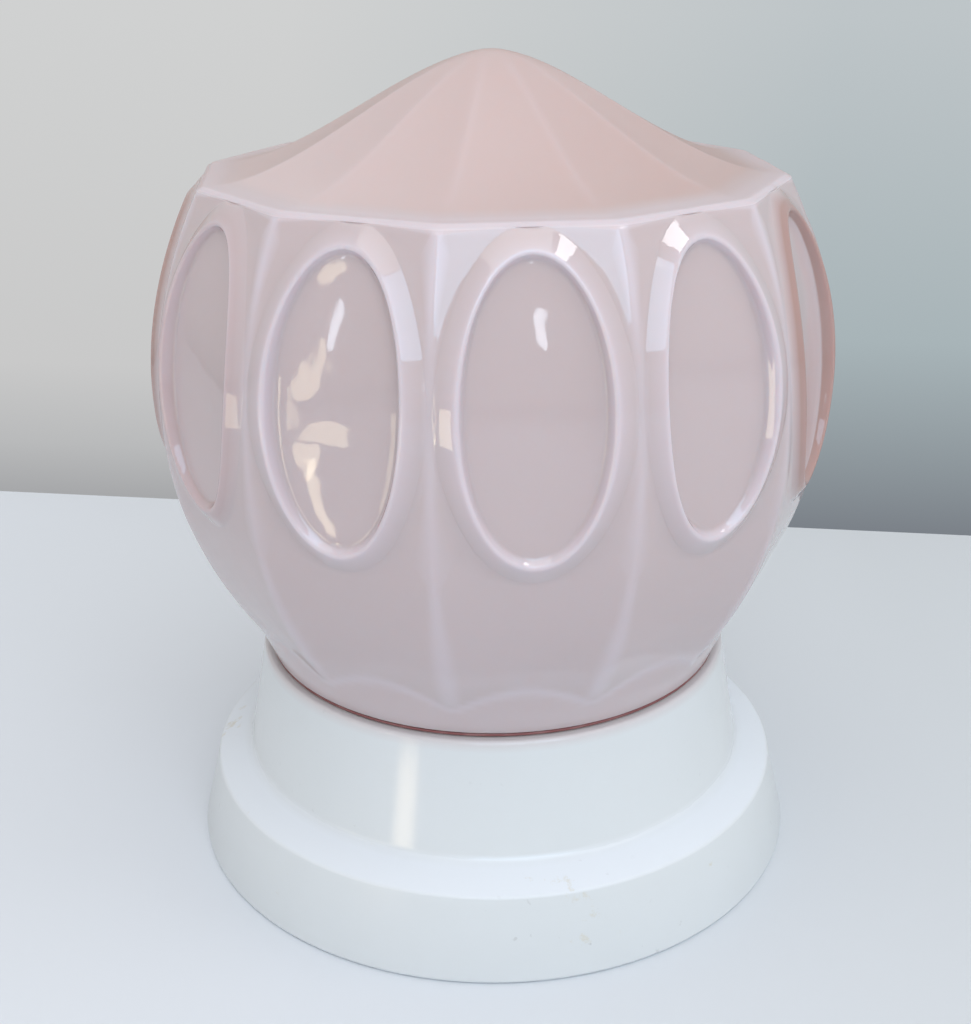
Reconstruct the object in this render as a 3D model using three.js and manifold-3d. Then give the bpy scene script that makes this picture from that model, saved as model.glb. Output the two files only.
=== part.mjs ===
// Ceiling lamp standing on its base: a moulded two-tier base with a lampholder, a bulb,
// and a pressed glass shade with twelve facets, each with a raised oval ring round a dish.
// Millimetres, +Z from the base's back rim towards the shade's dome. Front is -Y.

import * as THREE from 'three';
import { mergeVertices } from 'three/addons/utils/BufferGeometryUtils.js';
import Module from 'manifold-3d';

const wasm = await Module();
wasm.setup();

// Overall sizes: the mouth that takes the glass thread sets the rest of the base
const mouth_radius = 42.8;
const base_height = 43.6;
const glass_radius = 67.2;
const glass_height = 96.4;
const dome_height = 22.4;

// Clearances
const seat_gap = 0.3;
const screw_gap = 0.35;
const shell_gap = 0.5;
const thread_gap = 1.6;
const cut_overrun = 2;

// Base: the lower tier carries a ledge, the upper tier carries the shade
const skirt_height = 17.2;
const skirt_draft = 3.8;
const skirt_wall = 3;
const ledge_width = 7.6;
const ledge_rise = 2.8;
const tier_draft = 4;
const tier_wall = 3;
const edge_round = 0.9;
const floor_thickness = 3;
const floor_level = 12.4;
const mouth_shoulder = 6.8;
const mouth_depth = 15;
const mouth_wall = 2.6;
const rib_count = 8;
const rib_thickness = 1.6;
const rib_height = 7.5;
const rib_inset = 2;
const fixing_inset = 16.6;
const fixing_slot_length = 13;
const fixing_slot_width = 5.2;
const cable_place_share = 0.46;
const cable_hole_radius = 4.7;

// Rubber pieces
const seal_thickness = 0.6;
const seal_inset = 0.5;
const grommet_flange = 0.9;
const grommet_lip = 1.6;
const grommet_bore_radius = 3.5;

// Glass shade
const facet_count = 12;
const facet_turn_degrees = 6.3;
const collar_width = 5.3;
const collar_lean_share = 0.52;
const collar_height = 5.4;
const rim_inset = 10.3;
const rim_bevel = 1.1;
const widest_level_share = 0.57;
const bulge_power = 2.15;
const ogee_power = 1.62;
const crease_fade_shares = [0.12, 0.62];
const glass_wall = 3.1;
const dome_wall = 3.4;
const neck_length = 13;
const neck_wall = 3.8;

// Oval relief on each facet, heights along the facet's normal
const oval_height = 51;
const oval_side_margin = 4.5;
const oval_rim_margin = 3.4;
const ring_height = 1.7;
const ring_band = 3.8;
const ring_round = 0.35;
const dish_depth = 1.3;
const dish_side_rise = 0.7;
const dish_end_rise = 1.7;
const dish_wall_width = 0.9;
const oval_field_margin = 5.5;

// Lampholder for a screw-cap bulb
const shell_bore_radius = 13.75;
const shell_wall = 0.45;
const shell_length = 23.8;
const shell_flange = 3;
const holder_wall = 4.4;
const holder_height = 30.4;
const holder_foot_radius = 27;
const holder_foot_height = 8.4;
const holder_base_thickness = 3.1;
const holder_round = 1.2;
const chamber_radius = 10;
const chamber_height = 3.6;
const holder_screw_offset = 23;

// Contacts and terminals
const strip_thickness = 0.5;
const strip_width = 5;
const contact_width = 5.5;
const contact_reach = 3;
const contact_hinge_offset = 7.4;
const contact_rise = 1.5;
const terminal_width = 8.4;
const terminal_length = 7.8;
const terminal_height = 5;
const wire_hole_radius = 1.6;
const clamp_screw_radius = 1.5;
const clamp_head_radius = 2.5;
const clamp_head_height = 1.7;
const clamp_screw_length = 3.6;
const slot_width = 0.8;
const slot_depth = 0.9;

// Screws and nuts that hold the lampholder
const holder_screw_radius = 1.95;
const holder_head_radius = 3.6;
const holder_head_height = 2.3;
const nut_flats = 7;
const nut_height = 3;
const boss_wall = 1.8;
const boss_height = 6;

// Bulb
const bulb_length = 98;
const bulb_radius = 27.5;
const bulb_neck_radius = 12.2;
const bulb_waist_radius = 36;
const bulb_wall = 0.7;
const cap_radius = 13.05;
const cap_wall = 0.35;
const cap_length = 22;
const cap_cone = 2.6;
const insulator_radius = 10.2;
const insulator_height = 2.2;
const tip_radius = 4.6;
const tip_height = 1.6;
const stem_radius = 3.2;
const stem_length = 32;
const stem_button_radius = 2.4;
const lead_radius = 0.35;
const lead_spread = 9;
const lead_length = 17;
const filament_radius = 0.45;

// Faces round each turned piece
const fine_steps = 48;
const medium_steps = 32;
const bulb_steps = 20;
const small_steps = 16;
const wire_steps = 8;
const arc_steps = 2;
const slot_steps = 4;
const facet_columns = 6;
const field_rows = 6;

// Levels and radii worked out from the sizes above
const tier_foot_level = skirt_height + ledge_rise;
const tier_top_radius = mouth_radius + mouth_shoulder;
const tier_foot_radius = tier_top_radius + tier_draft;
const base_radius = tier_foot_radius + ledge_width + skirt_draft;
const collar_radius = mouth_radius + collar_width;
const rim_radius = glass_radius - rim_inset;
const fixing_offset = tier_foot_radius - fixing_inset;
const cable_room = tier_foot_radius - tier_wall - holder_foot_radius;
const cable_offset = holder_foot_radius + cable_room * cable_place_share;
const floor_top = floor_level + floor_thickness;
const shoulder_level = base_height + seat_gap + seal_thickness + seat_gap;
const rim_level = shoulder_level + glass_height;
const widest_level = shoulder_level + glass_height * widest_level_share;
const neck_radius = mouth_radius - thread_gap;
const holder_foot_level = floor_top + seat_gap;
const chamber_floor = holder_foot_level + holder_base_thickness;
const shell_seat = chamber_floor + chamber_height;
const shell_level = shell_seat + seat_gap;
const contact_top = shell_level + contact_rise;
const bulb_level = contact_top + seat_gap;
const holder_bore_radius = shell_bore_radius + shell_wall + shell_gap;
const stem_flare_radius = bulb_neck_radius - bulb_wall - seat_gap;

/** Drops collapsed faces, shares vertices and turns the faces outwards. */
function weld(geometry) {
  const bare = geometry.index ? geometry.toNonIndexed() : geometry.clone();
  bare.deleteAttribute('normal');
  bare.deleteAttribute('uv');
  const merged = mergeVertices(bare);
  const position = merged.attributes.position;
  const corners = [0, 1, 2].map(() => new THREE.Vector3());
  const kept = [];
  let volume = 0;
  for (let i = 0; i < merged.index.count; i += 3) {
    const face = [0, 1, 2].map((k) => merged.index.getX(i + k));
    if (new Set(face).size < 3) continue;
    face.forEach((vertex, k) => corners[k].fromBufferAttribute(position, vertex));
    volume += corners[0].dot(corners[1].clone().cross(corners[2]));
    kept.push(face);
  }
  const faces = volume < 0 ? kept.map(([a, b, c]) => [a, c, b]) : kept;
  merged.setIndex(faces.flat());
  return merged;
}

function toSolid(geometry) {
  const welded = weld(geometry);
  return new wasm.Manifold(new wasm.Mesh({
    numProp: 3,
    vertProperties: new Float32Array(welded.attributes.position.array),
    triVerts: new Uint32Array(welded.index.array),
  }));
}

function fromSolid(solid) {
  const mesh = solid.getMesh();
  const geometry = new THREE.BufferGeometry();
  geometry.setAttribute('position', new THREE.BufferAttribute(mesh.vertProperties, 3));
  geometry.setIndex(new THREE.BufferAttribute(mesh.triVerts, 1));
  return geometry;
}

/** Joins the first list of shapes, then cuts the second list from them. */
function shape(added, removed = []) {
  let solid = toSolid(added[0]);
  for (const geometry of added.slice(1)) solid = solid.add(toSolid(geometry));
  for (const geometry of removed) solid = solid.subtract(toSolid(geometry));
  return fromSolid(solid);
}

/** Points of an arc in an outline, from one angle to the other, in degrees. */
function arc(centreR, centreZ, radius, from, to, steps = arc_steps) {
  return Array.from({ length: steps + 1 }, (_, i) => {
    const angle = THREE.MathUtils.degToRad(THREE.MathUtils.lerp(from, to, i / steps));
    return [centreR + radius * Math.cos(angle), centreZ + radius * Math.sin(angle)];
  });
}

/** Turns a closed outline of [radius, height] points round the Z axis. */
function turned(outline, steps, closed = true) {
  const points = outline.map(([r, z]) => new THREE.Vector2(r, z));
  if (closed) points.push(points[0].clone());
  const lathe = new THREE.LatheGeometry(points, steps);
  lathe.rotateX(Math.PI / 2);
  return weld(lathe);
}

function rod(radius, from, to, steps = small_steps) {
  const geometry = new THREE.CylinderGeometry(radius, radius, to - from, steps);
  geometry.rotateX(Math.PI / 2);
  geometry.translate(0, 0, (from + to) / 2);
  return geometry;
}

function block(sizeX, sizeY, from, to) {
  const geometry = new THREE.BoxGeometry(sizeX, sizeY, to - from);
  geometry.translate(0, 0, (from + to) / 2);
  return geometry;
}

/** Extrudes a shape drawn in X and Z by a width centred on Y = 0. */
function plateXZ(outline, width) {
  const points = outline.map(([x, z]) => new THREE.Vector2(x, z));
  const outlineShape = new THREE.Shape(points);
  const geometry = new THREE.ExtrudeGeometry(outlineShape, { depth: width, bevelEnabled: false });
  geometry.translate(0, 0, -width / 2);
  geometry.rotateX(Math.PI / 2);
  return geometry;
}

/** A strip of even thickness that follows a bent centre line in X and Z. */
function strip(line, width, thickness = strip_thickness) {
  const sides = line.map((point, i) => {
    const before = line[Math.max(i - 1, 0)];
    const after = line[Math.min(i + 1, line.length - 1)];
    const length = Math.hypot(after[0] - before[0], after[1] - before[1]);
    const across = [-(after[1] - before[1]) / length, (after[0] - before[0]) / length];
    return [1, -1].map((side) => point.map((value, k) => value + side * across[k] * thickness / 2));
  });
  const outline = [...sides.map((pair) => pair[0]), ...sides.map((pair) => pair[1]).reverse()];
  return plateXZ(outline, width);
}

function moved(geometry, x, y, z = 0) {
  return geometry.clone().translate(x, y, z);
}

function around(geometry, angle) {
  return geometry.clone().rotateZ(angle);
}

// Base

function skirtRadiusAt(z) {
  return base_radius - skirt_draft * z / skirt_height;
}

function tierRadiusAt(z) {
  const rise_share = (z - tier_foot_level) / (base_height - tier_foot_level);
  return THREE.MathUtils.lerp(tier_foot_radius, tier_top_radius, rise_share);
}

/** Lower tier: a thin skirt with the ledge on top of it. */
function baseSkirt() {
  const ledge_edge = skirtRadiusAt(skirt_height);
  const inner = tier_foot_radius + seat_gap;
  const ledge_under = skirt_height - skirt_wall;
  return turned([
    [skirtRadiusAt(0) - skirt_wall, 0],
    ...arc(base_radius - edge_round, edge_round, edge_round, -90, 0),
    ...arc(ledge_edge - edge_round, skirt_height - edge_round, edge_round, 0, 70),
    [inner, tier_foot_level],
    [inner, tier_foot_level - skirt_wall],
    [skirtRadiusAt(ledge_under) - skirt_wall, ledge_under],
  ], fine_steps);
}

/** Upper tier, from the floor to the mouth, with the sleeve for the glass thread inside it. */
function baseGallery() {
  const low = floor_top + seat_gap;
  const mouth_level = base_height - mouth_depth;
  const sleeve_top = base_height - tier_wall;
  const sleeve_radius = mouth_radius + mouth_wall;
  return turned([
    [tier_foot_radius, low],
    [tier_foot_radius, tier_foot_level],
    ...arc(tier_top_radius - edge_round, base_height - edge_round, edge_round, 0, 90),
    [mouth_radius, base_height],
    [mouth_radius, mouth_level],
    [sleeve_radius, mouth_level],
    [sleeve_radius, sleeve_top],
    [tierRadiusAt(sleeve_top) - tier_wall, sleeve_top],
    [tier_foot_radius - tier_wall, tier_foot_level],
    [tier_foot_radius - tier_wall, low],
  ], fine_steps);
}

function slotTool(length, width, from, to) {
  const half = (length - width) / 2;
  const outline = new THREE.Shape();
  outline.absarc(half, 0, width / 2, -Math.PI / 2, Math.PI / 2);
  outline.absarc(-half, 0, width / 2, Math.PI / 2, 3 * Math.PI / 2);
  const geometry = new THREE.ExtrudeGeometry(outline, {
    depth: to - from,
    bevelEnabled: false,
    curveSegments: slot_steps,
  });
  return geometry.translate(0, 0, from);
}

function hexTool(flats, from, to) {
  return rod(flats / 2 / Math.cos(Math.PI / 6), from, to, 6);
}

/** Ribs under the floor, from the lampholder's foot out to the floor's edge. */
function floorRibs() {
  const inner = holder_foot_radius;
  const length = tier_foot_radius - rib_inset - inner;
  const rib = block(length, rib_thickness, floor_level - rib_height, floor_level + floor_thickness / 2);
  return Array.from({ length: rib_count }, (_, i) => {
    return around(moved(rib, inner + length / 2, 0), (i + 0.5) / rib_count * 2 * Math.PI);
  });
}

/** Floor plate with its ribs, nut pockets, slots for the ceiling screws and cable hole. */
function baseFloor() {
  const nut_room = nut_flats + 2 * seat_gap;
  const boss_radius = nut_room / 2 / Math.cos(Math.PI / 6) + boss_wall;
  const boss = rod(boss_radius, floor_level - boss_height, floor_level + floor_thickness / 2);
  const pocket = hexTool(nut_room, floor_level - boss_height - cut_overrun, nutTop() + seat_gap);
  const screw_hole = rod(holder_screw_radius + screw_gap, 0, floor_top + cut_overrun);
  const slot = slotTool(fixing_slot_length, fixing_slot_width, 0, floor_top + cut_overrun);
  const cable_hole = rod(cable_hole_radius, 0, floor_top + cut_overrun, medium_steps);
  const added = [rod(tier_foot_radius, floor_level, floor_top, fine_steps), ...floorRibs()];
  const removed = [moved(cable_hole, 0, cable_offset)];
  for (const side of [-1, 1]) {
    added.push(moved(boss, 0, side * holder_screw_offset));
    removed.push(moved(pocket, 0, side * holder_screw_offset));
    removed.push(moved(screw_hole, 0, side * holder_screw_offset));
    removed.push(moved(slot, side * fixing_offset, 0));
  }
  return shape(added, removed);
}

// Rubber pieces

function shadeSeal() {
  const low = base_height + seat_gap;
  return turned([
    [mouth_radius, low],
    [collar_radius - seal_inset, low],
    [collar_radius - seal_inset, low + seal_thickness],
    [mouth_radius, low + seal_thickness],
  ], fine_steps);
}

function cableGrommet() {
  const throat = cable_hole_radius - seat_gap;
  const flange = cable_hole_radius + grommet_flange;
  const low = floor_level - seat_gap;
  const high = floor_top + seat_gap;
  return turned([
    [grommet_bore_radius, low - grommet_lip],
    [flange, low - grommet_lip],
    [flange, low],
    [throat, low],
    [throat, high],
    [flange, high],
    [flange, high + grommet_lip],
    [grommet_bore_radius, high + grommet_lip],
  ], small_steps);
}

// Glass shade

const half_facet = Math.PI / facet_count;

// The collar flares by a share of the ridges' own growth between the shoulder and the fold
const fold_level = shoulder_level + collar_height;
const bowl_share = (widest_level - shoulder_level) / (widest_level - fold_level);
const flare_share = collar_lean_share * (bowl_share ** bulge_power - 1);
const fold_radius = collar_radius + (glass_radius - collar_radius) * flare_share / (1 + flare_share);

/** Radius of the ridges between facets at a height. */
function ridgeRadiusAt(z) {
  const upper = z > widest_level;
  const end = upper ? rim_radius : fold_radius;
  const span = upper ? rim_level - widest_level : widest_level - fold_level;
  return glass_radius - (glass_radius - end) * Math.pow(Math.abs(z - widest_level) / span, bulge_power);
}

function facetDistanceAt(z) {
  return ridgeRadiusAt(z) * Math.cos(half_facet);
}

function collarRadiusAt(z) {
  return THREE.MathUtils.lerp(fold_radius, ridgeRadiusAt(z), collar_lean_share);
}

/** Height at which a facet comes out of the round collar, at an angle from the facet's middle. */
function foldLevelAt(angle) {
  let low = shoulder_level;
  let high = widest_level;
  const fold_steps = 40;
  for (let i = 0; i < fold_steps; i += 1) {
    const middle = (low + high) / 2;
    if (facetDistanceAt(middle) / Math.cos(angle) > collarRadiusAt(middle)) high = middle;
    else low = middle;
  }
  return (low + high) / 2;
}

const dish_half_width = glass_radius * Math.sin(half_facet) - oval_side_margin;
const dish_half_height = oval_height / 2;
const oval_centre_level = rim_level - oval_rim_margin - dish_half_height;

/** Distance of a facet point from the dish's edge, along the ray from the oval's centre. */
function edgeDistance(x, up) {
  const length = Math.hypot(x, up);
  const reach = Math.hypot(x / dish_half_width, up / dish_half_height);
  return length - length / reach;
}

/** Height of the ring's straight outer flank over the facet, at a distance from the dish's edge. */
function flankHeight(distance) {
  const fall = (distance - ring_round) / (ring_band - ring_round);
  return ring_height * THREE.MathUtils.clamp(1 - fall, 0, 1);
}

/** Height of the dish's floor over the facet: hollow, and flatter from end to end than the facet. */
function dishHeight(x, up) {
  const side_rise = dish_side_rise * (x / dish_half_width) ** 2;
  const end_rise = dish_end_rise * (up / dish_half_height) ** 2;
  return side_rise + end_rise - dish_depth;
}

/** Point on a facet: x along the facet, z up, and the relief along the facet's normal. */
function facetPoint(facet, x, z, relief) {
  const normal = facet * 2 * half_facet - Math.PI / 2;
  const out = facetDistanceAt(z) + relief;
  return [
    out * Math.cos(normal) - x * Math.sin(normal),
    out * Math.sin(normal) + x * Math.cos(normal),
    z,
  ];
}

/** Border of the oval's field, counter-clockwise from its lower left corner, as [x, z]. */
function fieldBorder() {
  const low = oval_centre_level - dish_half_height - oval_field_margin;
  const edge = (z, share) => [facetDistanceAt(z) * Math.tan(half_facet * share), z];
  const across = (i) => -1 + 2 * i / facet_columns;
  const upward = (i) => THREE.MathUtils.lerp(low, rim_level, i / field_rows);
  const count = (n, make) => Array.from({ length: n }, (_, i) => make(i));
  return [
    ...count(facet_columns, (i) => edge(low, across(i))),
    ...count(field_rows, (i) => edge(upward(i), 1)),
    ...count(facet_columns, (i) => edge(rim_level, -across(i))),
    ...count(field_rows, (i) => edge(upward(field_rows - i), -1)),
  ];
}

/** Collects the shade's faces. Vertices are shared afterwards, when the mesh is welded. */
class Skin {
  constructor() {
    this.corners = [];
  }

  quad(a, b, c, d) {
    this.corners.push(a, b, c, a, c, d);
  }

  triangle(a, b, c) {
    this.corners.push(a, b, c);
  }

  /** Joins two loops of points. One may have twice as many points as the other. */
  band(lower, upper) {
    if (lower.length < upper.length) {
      this.fan(upper, lower, (a, b, c) => this.triangle(c, b, a));
    } else if (lower.length > upper.length) {
      this.fan(lower, upper, (a, b, c) => this.triangle(a, b, c));
    } else {
      lower.forEach((point, i) => {
        const next = (i + 1) % lower.length;
        this.quad(point, lower[next], upper[next], upper[i]);
      });
    }
  }

  fan(dense, sparse, add) {
    sparse.forEach((point, i) => {
      const next = sparse[(i + 1) % sparse.length];
      const [first, middle, last] = [0, 1, 2].map((k) => dense[(2 * i + k) % dense.length]);
      add(first, middle, point);
      add(middle, next, point);
      add(middle, last, next);
    });
  }

  cap(loop, centre) {
    loop.forEach((point, i) => this.triangle(point, loop[(i + 1) % loop.length], centre));
  }

  geometry() {
    const geometry = new THREE.BufferGeometry();
    geometry.setAttribute('position', new THREE.Float32BufferAttribute(this.corners.flat(), 3));
    return weld(geometry);
  }
}

/** One facet's oval: dish, wall, ring and the field out to the facet's border. */
function addOval(skin, facet) {
  const border = fieldBorder();
  const loop = (make) => border.map(([x, z]) => {
    const up = z - oval_centre_level;
    const reach = Math.hypot(x / dish_half_width, up / dish_half_height);
    const length = Math.hypot(x, up);
    const [s, height] = make(edgeDistance(x, up), length / reach);
    const share = (length / reach + s) / length;
    const relief = height ?? dishHeight(x * share, up * share);
    return facetPoint(facet, x * share, oval_centre_level + up * share, relief);
  });
  const dish_share = 0.62;
  const flank_share = 0.5;
  const flank_room_shares = [0.5, 0.86];
  const loops = [
    loop((_, edge) => [-edge * (1 - dish_share)]),
    loop(() => [-dish_wall_width]),
    loop(() => [0, ring_height - ring_round / 2]),
    loop(() => [ring_round, ring_height]),
    ...[flank_share, 1].map((share, i) => loop((room) => {
      const distance = Math.min(ring_band * share, room * flank_room_shares[i]);
      return [distance, flankHeight(distance)];
    })),
    border.map(([x, z]) => facetPoint(facet, x, z, flankHeight(edgeDistance(x, z - oval_centre_level)))),
  ];
  const centre = facetPoint(facet, 0, oval_centre_level, dishHeight(0, 0));
  skin.cap(loops[0], centre);
  for (let i = 1; i < loops.length; i += 1) skin.band(loops[i], loops[i - 1]);
}

/** A loop round the whole shade, made column by column over every facet. */
function columnLoop(make) {
  const loop = [];
  for (let facet = 0; facet < facet_count; facet += 1) {
    for (let i = 0; i < facet_columns; i += 1) {
      const angle = half_facet * (-1 + 2 * i / facet_columns);
      loop.push(make(facet, angle));
    }
  }
  return loop;
}

function ringLoop(radius, z, count) {
  return Array.from({ length: count }, (_, i) => {
    const angle = -half_facet - Math.PI / 2 + i / count * 2 * Math.PI;
    return [radius * Math.cos(angle), radius * Math.sin(angle), z];
  });
}

/** Facets below the ovals, down to the fold and the round collar. */
function bowlLoops() {
  const top = oval_centre_level - dish_half_height - oval_field_margin;
  const fall_shares = [1, 0.7, 0.36, 0];
  return fall_shares.map((share) => columnLoop((facet, angle) => {
    const z = THREE.MathUtils.lerp(top, foldLevelAt(angle), share);
    return facetPoint(facet, facetDistanceAt(z) * Math.tan(angle), z, 0);
  }));
}

/** Share of the polygon in a dome ring, against the circle, by its share of the rim's radius. */
function creaseShare(level_share) {
  return THREE.MathUtils.smoothstep(level_share, ...crease_fade_shares);
}

function domeLevel(level_share) {
  return rim_level + dome_height * (1 - level_share ** ogee_power) ** 2;
}

function domeLoop(level_share, columns) {
  const radius = rim_radius * level_share;
  const count = facet_count * columns;
  return Array.from({ length: count }, (_, i) => {
    const angle = half_facet * (-1 + 2 * (i % columns) / columns);
    const flat = Math.cos(half_facet) / Math.cos(angle);
    const r = radius * THREE.MathUtils.lerp(1, flat, creaseShare(level_share));
    const turn = Math.floor(i / columns) * 2 * half_facet + angle - Math.PI / 2;
    return [r * Math.cos(turn), r * Math.sin(turn), domeLevel(level_share)];
  });
}

function addDome(skin) {
  const rim = columnLoop((facet, angle) => {
    const x = facetDistanceAt(rim_level) * Math.tan(angle);
    return facetPoint(facet, x, rim_level, flankHeight(edgeDistance(x, rim_level - oval_centre_level)));
  });
  const bevel_share = 1 - rim_bevel / rim_radius;
  const skirt_share = 0.86;
  const crown_shares = [0.73, 0.6, 0.47, 0.34, 0.21, 0.1];
  const loops = [
    rim,
    rim.map(([x, y, z]) => [x * bevel_share, y * bevel_share, z + rim_bevel / 2]),
    domeLoop(skirt_share, facet_columns),
    ...crown_shares.map((share) => domeLoop(share, facet_columns / 2)),
  ];
  for (let i = 1; i < loops.length; i += 1) skin.band(loops[i - 1], loops[i]);
  skin.cap(loops[loops.length - 1], [0, 0, domeLevel(0)]);
}

/** Inside of the shade, from the neck's lip up to the top of the dome. */
function innerOutline() {
  const neck_bore = neck_radius - neck_wall;
  const lip = shoulder_level - neck_length;
  const body_shares = [0.08, 0.17, 0.32, 0.5, 0.7, 0.86, 0.96];
  const dome_shares = [0.74, 0.54, 0.36, 0.18];
  const recess = dish_depth + glass_wall;
  return [
    [neck_bore, lip],
    [neck_bore, shoulder_level],
    ...body_shares.map((share) => {
      const z = shoulder_level + glass_height * share;
      return [facetDistanceAt(Math.max(z, foldLevelAt(0))) - recess, z];
    }),
    ...dome_shares.map((share) => [rim_radius * share, domeLevel(share) - dome_wall]),
  ];
}

/** The skin runs from the dome's inside down to the neck's lip, and up again outside. */
function glassShade() {
  const skin = new Skin();
  const columns = facet_count * facet_columns;
  const lip = shoulder_level - neck_length;
  const inside = innerOutline().reverse().map(([r, z]) => ringLoop(r, z, columns / 2));
  const loops = [
    ...inside,
    ringLoop(neck_radius, lip, columns / 2),
    ringLoop(neck_radius, shoulder_level, columns / 2),
    ringLoop(collar_radius, shoulder_level, columns),
    ...bowlLoops(),
  ];
  skin.cap([...inside[0]].reverse(), [0, 0, domeLevel(0) - dome_wall]);
  for (let i = 1; i < loops.length; i += 1) skin.band(loops[i - 1], loops[i]);
  for (let facet = 0; facet < facet_count; facet += 1) addOval(skin, facet);
  addDome(skin);
  return skin.geometry();
}

// Lampholder

const pocket_inner = holder_bore_radius + holder_wall / 2;

function pocketCentre() {
  return pocket_inner + seat_gap + terminal_length / 2;
}

function lampholderBody() {
  const foot_top = holder_foot_level + holder_foot_height;
  const top = holder_foot_level + holder_height;
  const outer = holder_bore_radius + holder_wall;
  const outline = [
    [0, holder_foot_level],
    [holder_foot_radius, holder_foot_level],
    ...arc(holder_foot_radius - holder_round, foot_top - holder_round, holder_round, 0, 90),
    [outer, foot_top],
    ...arc(outer - holder_round, top - holder_round, holder_round, 0, 90),
    [holder_bore_radius, top],
    [holder_bore_radius, shell_seat],
    [chamber_radius, shell_seat],
    [chamber_radius, chamber_floor],
    [0, chamber_floor],
  ];
  const pocket_room = terminal_width + 2 * seat_gap;
  const pocket = block(holder_foot_radius, pocket_room, chamber_floor, foot_top + cut_overrun);
  const strip_room = strip_width + 2 * seat_gap;
  const strip_slot = block(pocket_inner + cut_overrun, strip_room, chamber_floor, shell_seat);
  const driver_way = rod(clamp_head_radius + screw_gap, foot_top - cut_overrun, top + cut_overrun);
  const hole = rod(holder_screw_radius + screw_gap, floor_level, foot_top + cut_overrun);
  const sink = rod(holder_head_radius + screw_gap, holderHeadLevel() - seat_gap, foot_top + cut_overrun);
  const removed = [];
  for (const side of [-1, 1]) {
    removed.push(moved(pocket, side * (pocket_inner + holder_foot_radius / 2), 0));
    removed.push(moved(strip_slot, side * pocket_inner / 2, 0));
    removed.push(moved(driver_way, side * pocketCentre(), 0));
    removed.push(moved(hole, 0, side * holder_screw_offset));
    removed.push(moved(sink, 0, side * holder_screw_offset));
  }
  return shape([turned(outline, medium_steps, false)], removed);
}

function lampholderShell() {
  const inner = shell_bore_radius;
  const outer = inner + shell_wall;
  const top = shell_level + shell_length;
  return turned([
    [outer - shell_flange, shell_level],
    [outer, shell_level],
    [outer, top],
    [inner, top],
    [inner, shell_level + shell_wall],
    [outer - shell_flange, shell_level + shell_wall],
  ], medium_steps);
}

function stripLevel() {
  return chamber_floor + seat_gap + strip_thickness / 2;
}

/** Fixed strip from the live terminal to the leaf's root in the chamber. */
function liveStrip() {
  const end = pocketCentre() + terminal_length / 4;
  return strip([[contact_hinge_offset - contact_width / 4, stripLevel()], [end, stripLevel()]], strip_width);
}

/** Fixed strip from the neutral terminal up to the shell's flange. */
function neutralStrip() {
  const high = shell_level - seat_gap - strip_thickness / 2;
  const step = holder_bore_radius - shell_flange / 2;
  return strip([
    [-(chamber_radius + seat_gap), high],
    [-step, high],
    [-(step + strip_thickness * 2), stripLevel()],
    [-(pocketCentre() + terminal_length / 4), stripLevel()],
  ], strip_width);
}

/** Sprung leaf: rooted on the live strip, bent up to the pad that the bulb's tip presses. */
function centreContact() {
  const root = stripLevel() + strip_thickness + seat_gap;
  const pad = contact_top - strip_thickness / 2;
  const leaf = strip([
    [contact_hinge_offset, root],
    [contact_hinge_offset - contact_width / 2, root],
    [contact_reach - strip_thickness, pad],
    [-contact_reach, pad],
    [-contact_reach - strip_thickness * 2, pad - strip_thickness * 2],
  ], contact_width);
  return leaf;
}

function terminalBlock() {
  const low = chamber_floor + 2 * seat_gap + strip_thickness;
  const high = low + terminal_height;
  const wire_level_share = 0.36;
  const wire_level = low + terminal_height * wire_level_share;
  const wire_hole = rod(wire_hole_radius, 0, terminal_length * 2);
  wire_hole.rotateY(Math.PI / 2);
  wire_hole.translate(0, 0, wire_level);
  const screw_hole = rod(clamp_screw_radius + screw_gap, wire_level - wire_hole_radius, high + cut_overrun);
  return shape([block(terminal_length, terminal_width, low, high)], [wire_hole, screw_hole]);
}

/** A slotted screw, pointing down, with its head's underside at the given level. */
function slottedScrew(radius, length, headRadius, headHeight, level) {
  const shank = rod(radius, level - length, level + headHeight / 2);
  const head = turned([
    [0, level],
    [headRadius, level],
    ...arc(headRadius - headHeight / 2, level + headHeight / 2, headHeight / 2, 0, 90, 2),
    [0, level + headHeight],
  ], small_steps, false);
  const high = level + headHeight;
  const slot = block(headRadius * 3, slot_width, high - slot_depth, high + cut_overrun);
  return shape([head, shank], [slot]);
}

function clampScrew() {
  const level = chamber_floor + 3 * seat_gap + strip_thickness + terminal_height;
  return slottedScrew(clamp_screw_radius, clamp_screw_length, clamp_head_radius, clamp_head_height, level);
}

function holderHeadLevel() {
  return holder_foot_level + holder_foot_height - holder_head_height - seat_gap;
}

function nutTop() {
  return floor_level - boss_height + nut_height + 2 * seat_gap;
}

function holderScrew() {
  const length = holderHeadLevel() - nutTop() + nut_height;
  const level = holderHeadLevel();
  return slottedScrew(holder_screw_radius, length, holder_head_radius, holder_head_height, level);
}

function holderNut() {
  const low = nutTop() - nut_height;
  const hole = rod(holder_screw_radius + screw_gap, low - cut_overrun, nutTop() + cut_overrun);
  return shape([hexTool(nut_flats, low, nutTop())], [hole]);
}

// Bulb

const cap_level = bulb_level + tip_height + insulator_height;
const cap_top = cap_level + cap_length;
const bulb_top = bulb_level + bulb_length;

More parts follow.
